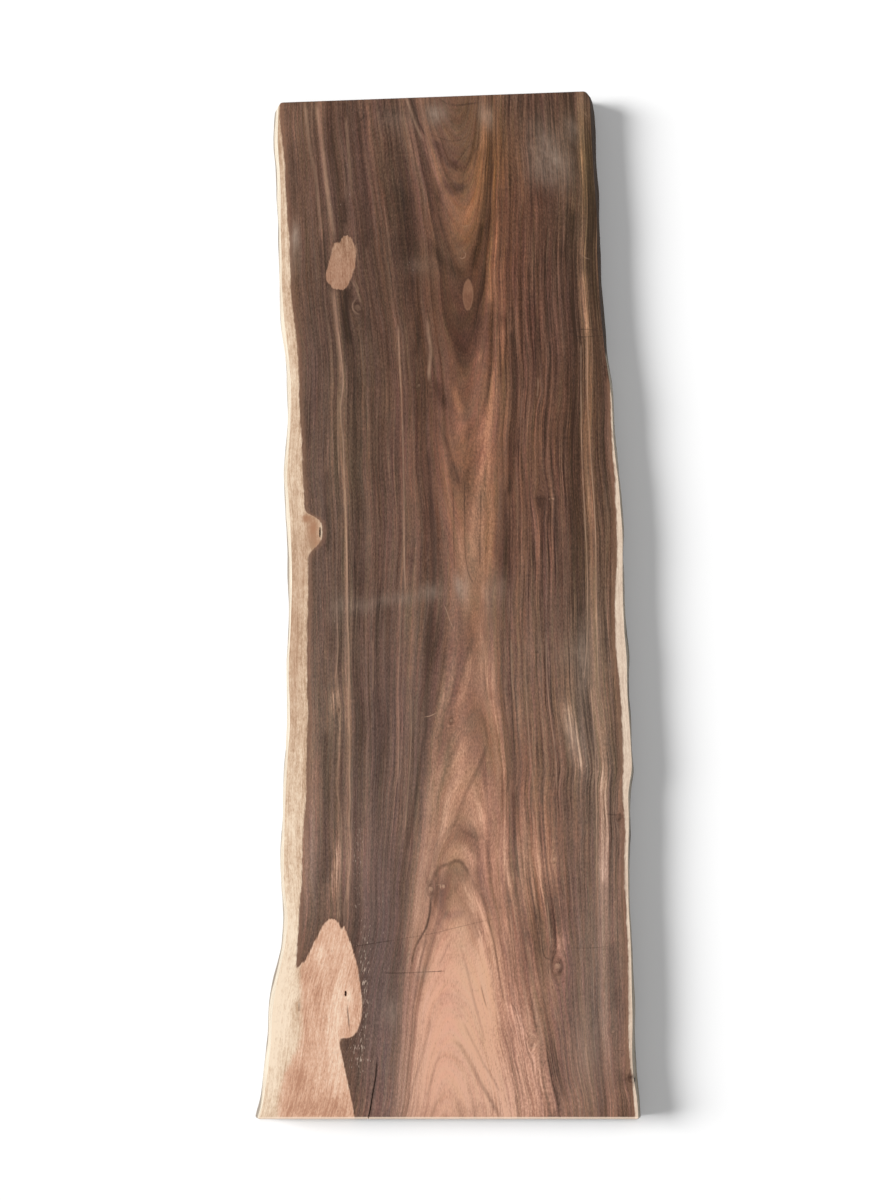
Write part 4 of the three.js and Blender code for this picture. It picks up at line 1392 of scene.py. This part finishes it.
class Finish:
    """A material under construction."""

    def __init__(self, material):
        material.use_nodes = True
        self.tree = material.node_tree
        self.tree.nodes.clear()
        self.name = material.name

    def node(self, kind, settings=None, sockets=None, output=0):
        made = self.tree.nodes.new(kind)
        for name, value in (settings or {}).items():
            if name == "stops":
                self._set_stops(made.color_ramp, value)
            else:
                setattr(made, name, value)
        for name, value in (sockets or {}).items():
            socket = made.inputs[name]
            if isinstance(value, Wire):
                self.tree.links.new(value.socket, socket)
            else:
                socket.default_value = value
        return Wire(self, made.outputs[output]) if made.outputs else made

    @staticmethod
    def _set_stops(ramp, stops):
        while len(ramp.elements) > 1:
            ramp.elements.remove(ramp.elements[-1])
        for i, (place, colour) in enumerate(stops):
            element = ramp.elements[0] if i == 0 else ramp.elements.new(place)
            element.position = place
            element.color = colour

    def split(self, vector):
        made = self.node("ShaderNodeSeparateXYZ", sockets={0: vector})
        return [Wire(self, out) for out in made.socket.node.outputs]

    def join(self, x, y, z):
        return self.node("ShaderNodeCombineXYZ", sockets={0: x, 1: y, 2: z})

    def field(self, name):
        """A number that the mesh keeps."""
        return self.node("ShaderNodeAttribute", {"attribute_name": name}, output="Fac")

    def fields(self, name):
        """Three numbers that the mesh keeps as a vector."""
        settings = {"attribute_name": name}
        return self.split(self.node("ShaderNodeAttribute", settings, output="Vector"))

    def place(self):
        """x, y and z on the object, in metres."""
        return self.split(self.node("ShaderNodeTexCoord", output="Object"))

    def step(self, value, low, high):
        """0 below low, 1 above high, eased between."""
        return self.node(
            "ShaderNodeMapRange", {"interpolation_type": "SMOOTHSTEP"},
            {"Value": value, "From Min": low, "From Max": high},
        )

    def noise(self, x, y, z, detail=2.0, rough=0.5):
        """Noise about zero, from roughly -0.5 to 0.5."""
        place = self.join(x, y, z)
        sockets = {"Vector": place, "Scale": 1.0, "Detail": detail, "Roughness": rough}
        return self.node("ShaderNodeTexNoise", sockets=sockets) - 0.5

    def between(self, mask, a, b):
        """The number a where the mask is 0 and b where it is 1."""
        return self.node("ShaderNodeMix", {"data_type": "FLOAT"}, {0: mask, 2: a, 3: b})

    def colour(self, mask, a, b, blend="MIX"):
        """The colour a where the mask is 0 and b where it is 1."""
        settings = {"data_type": "RGBA", "blend_type": blend}
        return self.node("ShaderNodeMix", settings, {0: mask, 6: a, 7: b}, output=2)

    def ramp(self, value, stops, output="Color"):
        return self.node("ShaderNodeValToRGB", {"stops": stops}, {0: value}, output)

    def hollows(self, wood, share, hollow_shade):
        """Wood with painted shade where the board is hollow."""
        return self.colour(self.step(self.field("sunk"), 0.2, 3.0) * share, wood, hollow_shade)

    def bump(self, relief, strength, distance):
        sockets = {"Strength": strength, "Distance": distance, "Height": relief}
        return self.node("ShaderNodeBump", sockets=sockets)

    def surface(self, colour, roughness, **others):
        """Ends the material with its shader."""
        sockets = {"Base Color": colour, "Roughness": roughness, **others}
        shader = self.node("ShaderNodeBsdfPrincipled", sockets=sockets)
        self.node("ShaderNodeOutputMaterial", sockets={0: shader})
        print(self.name, "has", len(self.tree.nodes), "nodes")


LIGHT_LEVEL = 1.17  # how much brighter than its own colour the lit board looks


def paint(red, green, blue):
    """A colour as it looks on the lit board, 0 to 255, turned into the wood's own colour."""
    shares = [v / 255 for v in (red, green, blue)]
    light = [v / 12.92 if v <= 0.04045 else ((v + 0.055) / 1.055) ** 2.4 for v in shares]
    return (*(v / LIGHT_LEVEL for v in light), 1.0)


def shades(*stops):
    """Ramp stops, each written as its place and its colour on the lit board."""
    return [(place, paint(*colour)) for place, *colour in stops]


def grey(level):
    return (level, level, level, 1.0)


# %% [markdown]
# ## Ring tones
#
# The dark and light of heartwood changes from ring to ring. Going out from the pith, each list
# names a ring's distance in millimetres and its tone, 0 for the darkest and 1 for the palest. The
# two sides of the tree and its lower and upper part differ, so there are four lists. A ramp in the
# shader reads them, and finer lines come from noise that is long along the board and very short
# across the rings.

# %% Tones by distance from the pith
HEART_UP = [
    (40, 0.40), (52, 0.38), (72, 0.42), (82, 0.46), (90, 0.42), (94, 0.36), (96, 0.46),
    (101, 0.48), (105, 0.40), (107, 0.50), (112, 0.54), (118, 0.56), (124, 0.52), (127, 0.44),
    (129, 0.34), (133, 0.30), (137, 0.32), (140, 0.28), (142.5, 0.30), (143.5, 0.44), (146, 0.50),
    (150, 0.52), (152, 0.46), (153.4, 0.38), (154.4, 0.52), (156, 0.56), (159, 0.54), (163, 0.46),
    (168, 0.38),
]
HEART_DOWN = [
    (34, 0.88), (44, 0.90), (52, 0.84), (58, 0.90), (66, 0.86), (70, 0.82), (76, 0.90), (84, 0.84),
    (90, 0.88), (98, 0.86), (104, 0.80), (108, 0.86), (118, 0.84), (125, 0.80), (129, 0.70),
    (134, 0.56), (136, 0.50), (137.5, 0.62), (139.5, 0.60), (141, 0.48), (143, 0.58), (147, 0.62),
    (149.5, 0.52), (151, 0.60), (153.5, 0.54), (155, 0.60), (157, 0.62), (161, 0.56), (165, 0.48),
    (169, 0.40),
]
LEFT_SIDE = [
    (160, 0.50), (168, 0.40), (174, 0.30), (188, 0.26), (195, 0.40), (200, 0.30), (204, 0.42),
    (207, 0.30), (211, 0.46), (215, 0.32), (222, 0.40), (229, 0.28), (234, 0.38), (240, 0.26),
    (256, 0.26), (262, 0.34), (270, 0.36), (277, 0.26), (284, 0.18), (296, 0.20), (300, 0.30),
    (305, 0.38), (308.7, 0.48), (312, 0.38), (316, 0.24), (322, 0.24), (325, 0.40), (329, 0.26),
    (345, 0.32), (360, 0.26), (385, 0.32), (430, 0.34),
]
RIGHT_SIDE = [
    (160, 0.52), (166, 0.42), (172, 0.38), (176, 0.24), (179, 0.42), (182, 0.28), (186, 0.42),
    (192, 0.32), (199, 0.42), (205, 0.28), (212, 0.38), (222, 0.28), (230, 0.36), (239, 0.26),
    (250, 0.34), (260, 0.24), (268, 0.14), (284, 0.14), (289, 0.30), (295, 0.48), (299, 0.40),
    (304, 0.48), (309, 0.32), (313, 0.20), (326, 0.14), (340, 0.22), (365, 0.30),
]
RING_SPAN = (30.0, 440.0)
INNER_TO_OUTER = (160.0, 168.0)


def ring_stops(rings):
    """A list of rings as the stops of a ramp."""
    low, high = RING_SPAN
    return [((r - low) / (high - low), grey(tone)) for r, tone in rings]


def ring_tone(finish, growth):
    """The tone of the heartwood, and the ring distance with its small wobble."""
    ring, along_board, across = growth
    wobble = finish.noise(across / 26.0, along_board / 150.0, 0.0, 2.0)
    wobble = wobble * 7.0 * (abs(across) / ring)
    wobbled = ring + wobble
    place = (wobbled - RING_SPAN[0]) / (RING_SPAN[1] - RING_SPAN[0])
    lists = (HEART_UP, HEART_DOWN, LEFT_SIDE, RIGHT_SIDE)
    up, down, left, right = [finish.ramp(place, ring_stops(rings)) for rings in lists]
    upper = finish.step(along_board, -40.0, 120.0)
    inner = finish.between(upper, down, up)
    outer = finish.between(finish.step(across, -20.0, 20.0), left, right)
    return finish.between(finish.step(wobbled, *INNER_TO_OUTER), inner, outer), wobbled


print("rings listed:", sum(map(len, (HEART_UP, HEART_DOWN, LEFT_SIDE, RIGHT_SIDE))))

# %% [markdown]
# ## The sanded faces
#
# The face shows, from coarse to fine: the ring tones, fine lines, streaky fibres, and pores that
# look like short dark dashes. All are noise that is long along the board and short across it. The
# material keeps the wires that the heartwood, the pale woods and the marks share.

# %% Noises of the face
def lay_noises(f):
    """Keeps the shared wires, from coarse to fine; each noise is about zero."""
    f.growth = f.fields("growth")
    _, run, across = f.growth
    f.x, f.y, f.z = f.place()
    f.tone, f.wobbled = ring_tone(f, f.growth)
    f.bands = f.noise(f.wobbled / 8.0, run / 420.0, across / 140.0, 2.0)
    f.strands = f.noise(f.wobbled / 3.4, run / 230.0, across / 46.0, 1.0)
    f.lines = f.noise(f.wobbled / 1.9, run / 110.0, across / 22.0, 1.0)
    f.fibres = f.noise(across / 1.7, run / 24.0, f.z * 600.0, 2.0, 0.7)
    f.grit = f.noise(across / 2.2, run / 6.5, f.z * 500.0, 1.0, 0.7)
    f.mottle = f.noise(across / 24.0, run / 60.0, f.z * 30.0, 3.0, 0.6)
    f.blotch = f.noise(across / 9.0, run / 15.0, f.z * 60.0, 2.0, 0.6)
    f.fading = f.noise(across / 34.0, run / 150.0, f.z * 20.0, 2.0, 0.6)
    f.fray = f.mottle * 4.0 + f.fibres * 5.0 + f.blotch * 3.0
    f.sap_line = f.field("sap")
    f.in_sap = f.step(f.sap_line + f.fray, -1.6, 2.6)


face = Finish(face_wood)
lay_noises(face)
print("the noises take", len(face.tree.nodes), "nodes")

# %% [markdown]
# ## Heartwood
#
# The tone starts from the rings. Strands and lines are added where the grain is clear, a thin dark
# line ends each year's growth, and the drawn strokes and clouds come on top. A ramp turns the tone
# into a colour, and then the hue drifts from stripe to stripe: some tan, some grey, some reddish.

# %% Heartwood
HEARTWOOD = shades(
    (0.00, 58, 41, 31), (0.20, 86, 62, 50), (0.40, 115, 86, 71),
    (0.60, 147, 109, 89), (0.80, 182, 137, 113), (1.00, 219, 171, 144),
)
BASE_TONE = 0.022
CALM_TONE = 0.34
YEAR_WIDTH = 9.5


def heartwood(f):
    """The colour of the heartwood."""
    ring, run, across = f.growth
    red, warm, calm = f.fields("hue")
    tone = f.between(calm * f.step(ring, 168.0, 180.0) * 0.7, f.tone, CALM_TONE)
    rift = f.step(abs(across), 30.0, 140.0) * 0.7 + 0.3
    right_half = f.step(across, -20.0, 60.0)
    clear = (1.0 + f.fading * 3.4).at_least(0.25) * rift * (0.52 + right_half * 0.36) * (1.0 - calm)

    # A thin dark line where each year's growth ends
    years = f.wobbled / YEAR_WIDTH + f.bands * 1.5
    year = f.node("ShaderNodeMath", {"operation": "FRACT"}, {0: years})
    late = f.step(year, 0.45, 0.94) * f.step(year, 1.0, 0.95)
    plain_foot = f.step(run, -500.0, -760.0) * (1.0 - rift)
    late = late * (0.4 + right_half * 0.5) * (1.0 + f.fading * 3.0).at_least(0.2)
    late = late * (1.0 - plain_foot) * (1.0 - calm)

    # The figure, the clouds and the strokes
    figure = f.bands * 0.24 + (f.strands * 0.60 + f.lines * 0.55) * clear
    grainy = f.fibres * 0.36 + f.grit * (0.46 - plain_foot * 0.28) - late * 0.13
    tone = tone + figure + grainy + f.mottle * 0.14 + f.blotch * 0.10 + f.field("tone") + BASE_TONE
    tone = tone + f.field("broad_stroke") * (1.0 + f.strands * 3.0 + f.lines * 3.0 + f.fibres)
    dark_shape = f.field("dark_shape")
    tone = tone - dark_shape * 0.17 * (1.0 + f.strands * 2.0 + f.lines * 2.0 + f.mottle)
    heart = f.ramp(tone, HEARTWOOD)

    # The drift of hue
    stripe = f.noise(f.wobbled / 5.0 + 40.0, run / 260.0, across / 60.0, 2.0, 0.6)
    flush = f.noise(f.wobbled / 3.0 + 90.0, run / 160.0, across / 40.0, 2.0, 0.6)
    steady = 1.0 - f.step(tone, 0.55, 0.8) * 0.65
    red = red + (flush * 2.4 + f.blotch * 0.6) * steady
    warm = warm + (stripe * 1.8 + f.blotch * 0.5) * steady - dark_shape * 0.4
    tint = f.join(1.0 + red * 0.10, 1.0 - red * 0.10, 1.0 - red * 0.06 - warm * 0.24)
    return f.node("ShaderNodeVectorMath", {"operation": "MULTIPLY"}, {0: heart, 1: tint})


face_colour = heartwood(face)
print("with the heartwood", len(face.tree.nodes), "nodes")

# %% [markdown]
# ## Pale woods over the heartwood
#
# The sapwood, the corner patch and the two light ovals each have a colour of their own. They are
# laid over the heartwood one after another, inside the outlines that the mesh keeps, and the
# fibres fray their borders.

# %% Sapwood, patch and ovals
def pale_woods(f):
    """The colours of the sapwood, the corner patch and the larger and the smaller oval."""
    run = f.growth[1]
    sway = f.noise(f.x * 16.0, f.y * 7.0, f.z * 10.0, 2.0) * 3.0
    curl = f.noise(f.x * 105.0 + sway, f.y * 13.0, f.z * 40.0, 3.0, 0.6)
    tone = 0.5 + f.fibres * 1.1 + f.grit * 0.8 + f.mottle * 0.9 + f.blotch * 0.6 + f.strands * 0.8
    sapwood = f.ramp(tone + f.field("sap_tone"), shades(
        (0.0, 176, 142, 114), (0.35, 206, 174, 146), (0.6, 224, 196, 168), (1.0, 246, 224, 198),
    ))
    sapwood = f.colour(f.step(f.x, 0.0, 0.05) * 0.4, sapwood, paint(224, 210, 196))
    browned = f.field("sap_red") * (1.0 + f.fibres * 1.5 + f.mottle)
    sapwood = f.colour(browned.at_most(0.9), sapwood, paint(172, 124, 94))
    patch = f.ramp(tone - f.mottle * 0.7 + curl * 0.48 + f.field("sap_tone"), shades(
        (0.0, 186, 137, 110), (0.35, 214, 168, 140), (0.65, 230, 190, 163), (1.0, 244, 216, 190),
    ))
    patch = f.colour(f.step(f.sap_line + curl * 24.0 + f.fray, -12.0, 5.0), patch, sapwood)
    oval = f.ramp(tone * 1.3 - 0.15, shades(
        (0.0, 136, 98, 74), (0.5, 172, 134, 108), (1.0, 200, 164, 138),
    ))
    oval = f.colour(f.step(run, 775.0, 690.0) * 0.4, oval, paint(166, 118, 94))
    small_oval = f.ramp(tone * 0.8 - 0.2 + f.step(run, 634.0, 652.0) * 0.5, shades(
        (0.0, 98, 62, 46), (0.36, 124, 85, 65), (0.86, 146, 106, 82), (1.0, 156, 116, 92),
    ))
    return sapwood, patch, oval, small_oval


def lay_pale_woods(f, wood):
    """Lays the pale woods over the heartwood."""
    _, run, across = f.growth
    sapwood, patch, oval_wood, small_wood = pale_woods(f)
    fingers = f.noise(across / 3.4, run / 120.0, 7.0, 2.0, 0.6)
    oval = f.field("oval_patch") + f.fray * 0.6 + fingers * 9.0
    small_oval = f.field("small_oval") + f.fray * 0.6
    around = f.step(oval, -6.0, -0.5).at_least(f.step(small_oval, -6.0, -0.5))
    wood = f.colour(around * 0.30, wood, paint(70, 46, 36))
    wood = f.colour(f.step(oval, -1.4, 1.6), wood, oval_wood)
    wood = f.colour(f.step(small_oval, -1.6, 2.4) * 0.8, wood, paint(144, 104, 80))
    wood = f.colour(f.step(small_oval, 1.5, 4.5) * 0.85, wood, small_wood)
    corner = f.field("corner_patch") + f.fray * 0.6 + fingers * 9.0 * f.step(run, -850.0, -770.0)
    wood = f.colour(f.step(f.sap_line + f.fray, -15.0, -1.0) * 0.45, wood, paint(146, 108, 86))
    wood = f.colour(f.step(corner, -5.0, -0.5) * 0.35, wood, paint(96, 62, 44))
    wood = f.colour(f.step(corner, -1.4, 2.2), wood, patch)
    return f.colour(f.in_sap, wood, sapwood)


face_colour = lay_pale_woods(face, face_colour)
print("with the pale woods", len(face.tree.nodes), "nodes")

# %% [markdown]
# ## Marks on the face
#
# Knots, pores, strokes, dust, a painted sheen, painted shade in the hollows and a painted
# highlight along the butt end lie on top. The surface is sanded but not oiled, so it is rough and
# only faintly glossy, and the pores and open lines are a little sunken in the bump.

# %% Knots and fine strokes
KNOT_RINGS = [
    (0.0, grey(0.9)), (0.20, grey(1.0)), (0.36, grey(0.70)), (0.60, grey(0.50)), (0.80, grey(0.22)),
    (1.0, grey(0.0)),
]


def knot_marks(finish, fibres):
    """How dark and how pale the nearest knot makes each point."""
    u, v, strength = finish.fields("knot")
    bent = finish.noise(u * 0.9, v * 0.9, strength * 40.0, 3.0, 0.65)
    worn = finish.noise(u * 0.7, v * 0.7, strength * 90.0, 1.0)
    reach = (u * u + v * v) ** 0.5
    ragged = reach * (1.0 + bent * 2.4) + u * 0.14 + v * 0.10
    rings = finish.ramp(ragged / 1.5, KNOT_RINGS)
    rings = rings * (0.8 + worn * 2.0).at_least(0.45).at_most(1.1)
    tail = finish.step(abs(u) + abs(v) * 0.12 + fibres * 0.8, 1.0, 0.3)
    tail = tail * finish.step(abs(v), 6.0, 1.0)
    pale = finish.step(ragged, 0.62, 0.25) * finish.field("knot_middle")
    pale = pale * (0.8 + worn * 1.6).at_least(0.2)
    dark = (rings * 0.9 + tail * 0.35) * strength * (1.0 - pale).at_least(0.0)
    return dark.at_most(1.0), pale


def stroke_masks(finish, raggedness):
    """How dark and how pale the fine strokes make each point."""
    dark, pale = 0.0, 0.0
    for name in stroke_layers:
        offset, half_width, strength = finish.fields(name)
        on = finish.step(abs(offset) + raggedness, half_width * 1.8, half_width * 0.1)
        on = on * strength
        dark, pale = (-on).at_least(dark), on.at_least(pale)
    return dark, pale


# %% The marks, and the finished face
def mark_face(f, wood):
    """Lays the marks on the wood and ends the material."""
    _, run, across = f.growth
    knot_dark, knot_pale = knot_marks(f, f.fibres)
    on_left_sap = f.step(f.sap_line, 0.0, 3.0) * f.step(f.x, 0.0, -0.05)
    knot_wood = f.colour(on_left_sap, paint(60, 39, 30), paint(172, 128, 92))
    wood = f.colour(knot_dark * 0.85, wood, knot_wood)
    wood = f.colour(knot_pale, wood, paint(190, 152, 126))

    # Pores: short dashes, dark where empty and pale where dust has filled them
    pore = f.step(f.noise(across / 1.2, run / 9.0, f.z * 700.0, 1.0, 0.4), 0.12, 0.26)
    dashes = f.noise(across / 2.3, run / 13.0, 5.0, 1.0, 0.5)
    dusty = f.field("flecks")
    fleck = f.step(dashes + dusty * 0.20, 0.255, 0.325) * f.step(dusty, 0.02, 0.12)
    wood = f.colour(pore * (0.30 - f.in_sap * 0.18), wood, paint(56, 40, 32))
    wood = f.colour(fleck * 0.6, wood, paint(206, 182, 164))

    # Strokes, dust with a painted sheen, painted shade in the hollows, and a painted highlight along the
    # eased edge of the butt end
    dark, pale = stroke_masks(f, f.lines * 1.5 + f.grit)
    broken = f.step(f.fading + f.fibres * 0.6, -0.16, 0.10) * 0.5 + 0.5
    wood = f.colour((dark * broken).at_most(0.95), wood, paint(58, 42, 34))
    wood = f.colour(pale * broken, wood, paint(196, 158, 131))
    # dust, with a painted sheen near the top right
    dust = f.field("dust") * (1.0 + f.fibres * 1.4 + f.blotch + f.mottle * 1.5 + f.lines)
    wood = f.colour(dust.at_least(0.0), wood, paint(172, 152, 136))
    # painted shade inside the hollows
    wood = f.hollows(wood, 0.85, paint(62, 38, 28))
    # painted highlight: a pale line along the eased edge of the butt end
    painted_butt_highlight = f.step(f.y + f.fibres * 0.002, -1.0945, -1.0970)
    wood = f.colour(painted_butt_highlight * 0.72, wood, paint(252, 228, 206))

    rough = 0.60 + f.fibres * 0.12 + f.mottle * 0.10 + dust * 0.20 + pore * 0.1
    relief = f.fibres * 0.5 + f.lines * 0.4 - pore * 1.0 - dark * 1.2 - knot_dark * 0.8
    bump = f.bump(relief, 0.35, 0.0006)
    f.surface(wood, rough, Normal=bump, IOR=1.45, **{"Specular IOR Level": 0.12})


mark_face(face, face_colour)

# %% [markdown]
# ## The live edges
#
# With the bark off, the edge shows the outside of the last ring: pale, satiny, streaked along the
# trunk, with brown scraps of inner bark left in the hollows. Up the top right the edge is dark, as
# the saw has taken the sapwood off and left a brown crust.

# %% Edge wood
def build_edge(material):
    f = Finish(material)
    x, y, z = f.place()
    streaks = f.noise(x * 60.0, y * 11.0, z * 330.0, 4.0, 0.62)
    ridges = f.noise(x * 40.0, y * 5.0, z * 120.0, 3.0, 0.5)
    blotch = f.noise(x * 12.0, y * 9.0, z * 26.0, 3.0, 0.6)
    fleck = f.step(f.noise(x * 90.0, y * 22.0, z * 260.0, 3.0, 0.7), 0.10, 0.22)

    pale = f.ramp(0.5 + streaks * 0.9 + ridges * 0.6, shades(
        (0.0, 140, 120, 96), (0.42, 180, 166, 146), (0.7, 198, 188, 170), (1.0, 210, 202, 188),
    ))
    brown = f.ramp(0.5 + streaks * 0.9 + ridges * 0.5, shades(
        (0.0, 40, 29, 23), (0.5, 74, 56, 45), (1.0, 116, 90, 70),
    ))
    crust = f.step(f.field("crust") + blotch * 0.9 + ridges * 0.5, 0.42, 0.60)
    wood = f.colour(crust, pale, brown)
    wood = f.colour(fleck * 0.35, wood, paint(84, 60, 44))
    # painted shade: the lower part of both live edges is darkened, and more of it near the lower left corner
    shaded = z + streaks * 0.010 + ridges * 0.008 - f.field("shadowed") * 0.014
    wood = f.colour(f.step(shaded, 0.041, 0.031) * 0.75, wood, paint(84, 70, 58))
    # painted shade inside the hollows
    wood = f.hollows(wood, 0.9, paint(30, 22, 18))
    rough = 0.58 + streaks * 0.2 + crust * 0.2
    relief = streaks * 1.0 + ridges * 1.2 - fleck * 0.4
    f.surface(wood, rough, Normal=f.bump(relief, 0.6, 0.0014), IOR=1.45)


build_edge(edge_wood)

# %% [markdown]
# ## The cross-cut ends
#
# An end shows the rings as arcs, and the vessels end on as fine dots. End grain drinks in dirt and
# light, so it is darker and duller than the face. Fine rays run out from the pith, and the saw has
# left faint scores across.

# %% End wood
def build_end(material):
    f = Finish(material)
    growth = f.fields("growth")
    across = growth[2]
    x, y, z = f.place()
    tone, wobbled = ring_tone(f, growth)
    lines = f.noise(wobbled / 2.4, across / 120.0, 0.0, 3.0, 0.6)
    rays = f.noise(x * 700.0, z * 90.0, 0.0, 2.0)
    dots = f.noise(x * 1100.0, z * 1100.0, y * 50.0, 1.0)
    dot = f.step(dots, 0.14, 0.24)
    saw = f.noise(x * 30.0, z * 1500.0, 0.0, 1.0)

    tone = tone * 0.8 + lines * 0.42 + rays * 0.10 + f.field("tone") * 0.6
    heart = f.ramp(tone, shades(
        (0.0, 52, 37, 30), (0.3, 86, 62, 49), (0.6, 126, 92, 71), (1.0, 176, 134, 106),
    ))
    pale = f.ramp(0.5 + lines * 0.8 + rays * 0.4, shades(
        (0.0, 158, 122, 92), (0.5, 194, 160, 128), (1.0, 216, 188, 156),
    ))
    sap = f.step(f.field("sap").at_least(f.field("corner_patch")) + lines * 4.0, -1.5, 2.5)
    wood = f.colour(sap, heart, pale)
    wood = f.colour(dot * 0.5, wood, paint(44, 31, 25))
    # painted shade inside the hollows
    wood = f.hollows(wood, 0.9, paint(30, 22, 18))
    rough = 0.72 + rays * 0.1 + dots * 0.1
    relief = lines * 0.6 - dot * 1.0 + saw * 0.7
    f.surface(wood, rough, Normal=f.bump(relief, 0.5, 0.0008), IOR=1.42)


build_end(end_wood)

# %% Give each face of the board its wood
EDGE_REACH = 5.0
SHARP_ANGLE = math.radians(38)
for material in (face_wood, edge_wood, end_wood):
    if material.name not in [m.name for m in board_mesh.materials if m]:
        board_mesh.materials.append(material)
order = {m.name: i for i, m in enumerate(board_mesh.materials)}
count = len(board_mesh.polygons)
middles, normals = np.empty(count * 3), np.empty(count * 3)
board_mesh.polygons.foreach_get("center", middles)
board_mesh.polygons.foreach_get("normal", normals)
middles, normals = middles.reshape(-1, 3) / MM, normals.reshape(-1, 3)
mid_depth = 1 - middles[:, 2] / THICKNESS
to_edge = np.minimum(
    middles[:, 0] - live_edge(-1, middles[:, 1], mid_depth),
    live_edge(1, middles[:, 1], mid_depth) - middles[:, 0],
)
is_edge = (to_edge < EDGE_REACH) & (np.abs(normals[:, 2]) < 0.80)
is_end = (normals[:, 1] < -0.85) & (middles[:, 1] < BUTT_Y + 3)
# painted shade: the eased edge of the top end takes the darker end wood, for a dark line along the top edge
is_end |= (normals[:, 1] > 0.5) & (middles[:, 1] > TOP_Y - 30)
kind = np.where(is_edge, order["edge_wood"], order["face_wood"])
kind = np.where(is_end, order["end_wood"], kind)
board_mesh.polygons.foreach_set("material_index", kind.astype(np.int32))
board_mesh.shade_smooth()
board_mesh.set_sharp_from_angle(angle=SHARP_ANGLE)
board_mesh.update()
print("faces:", {name: int((kind == i).sum()) for name, i in order.items()})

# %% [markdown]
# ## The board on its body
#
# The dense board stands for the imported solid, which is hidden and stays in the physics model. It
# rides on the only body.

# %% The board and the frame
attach(slab, "root")
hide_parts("slab")

# %% [markdown]
# ## Floor and light
#
# A plain pale floor, a soft low light from the left that throws the wide grey shadow to the right,
# and a bright even room for the rest. The floor is nearly white in full light.

# %% Floor
FLOOR_HALF = 30.0
FLOOR_DROP = -0.0006
floor_corners = [(-1, -1), (1, -1), (1, 1), (-1, 1)]
floor_mesh = bpy.data.meshes.new("floor")
floor_mesh.from_pydata(
    [(x * FLOOR_HALF, y * FLOOR_HALF, FLOOR_DROP) for x, y in floor_corners], [], [(0, 1, 2, 3)]
)
floor = bpy.data.objects.new("floor", floor_mesh)
bpy.context.scene.collection.objects.link(floor)
floor_paint = bpy.data.materials.new("floor_paint")
f = Finish(floor_paint)
cloudy = f.noise(*f.place(), 1.0)
floor_colour = f.ramp(0.5 + cloudy * 0.5, [(0.0, grey(0.86)), (1.0, grey(0.88))])
f.surface(floor_colour, 0.9, IOR=1.3)
floor_mesh.materials.append(floor_paint)

# %% Lights
SUN_HEIGHT = math.radians(26.5)
SUN_ANGLE = math.radians(28.0)
SUN_ENERGY, OVERHEAD_ENERGY, ROOM_LIGHT = 5.4, 0.62, 0.24


def far_light(name, energy, spread, turn):
    """A light from so far away that its rays are parallel."""
    data = bpy.data.lights.new(name, "SUN")
    data.energy, data.angle = energy, spread
    light = bpy.data.objects.new(name, data)
    light.rotation_euler = turn
    bpy.context.scene.collection.objects.link(light)


from_left = (math.radians(-4.0), -(math.pi / 2 - SUN_HEIGHT), 0.0)
far_light("low_left_light", SUN_ENERGY, SUN_ANGLE, from_left)
far_light("overhead_light", OVERHEAD_ENERGY, math.radians(8.0), (math.radians(-10.0), 0.0, 0.0))
world = bpy.data.worlds.new("room")
world.use_nodes = True
room = world.node_tree.nodes["Background"].inputs
room["Color"].default_value = (1.0, 1.0, 1.0, 1.0)
room["Strength"].default_value = ROOM_LIGHT
bpy.context.scene.world = world
bpy.context.scene.view_settings.view_transform = "Standard"
print("light from the left,", round(math.degrees(SUN_HEIGHT)), "degrees above the floor")
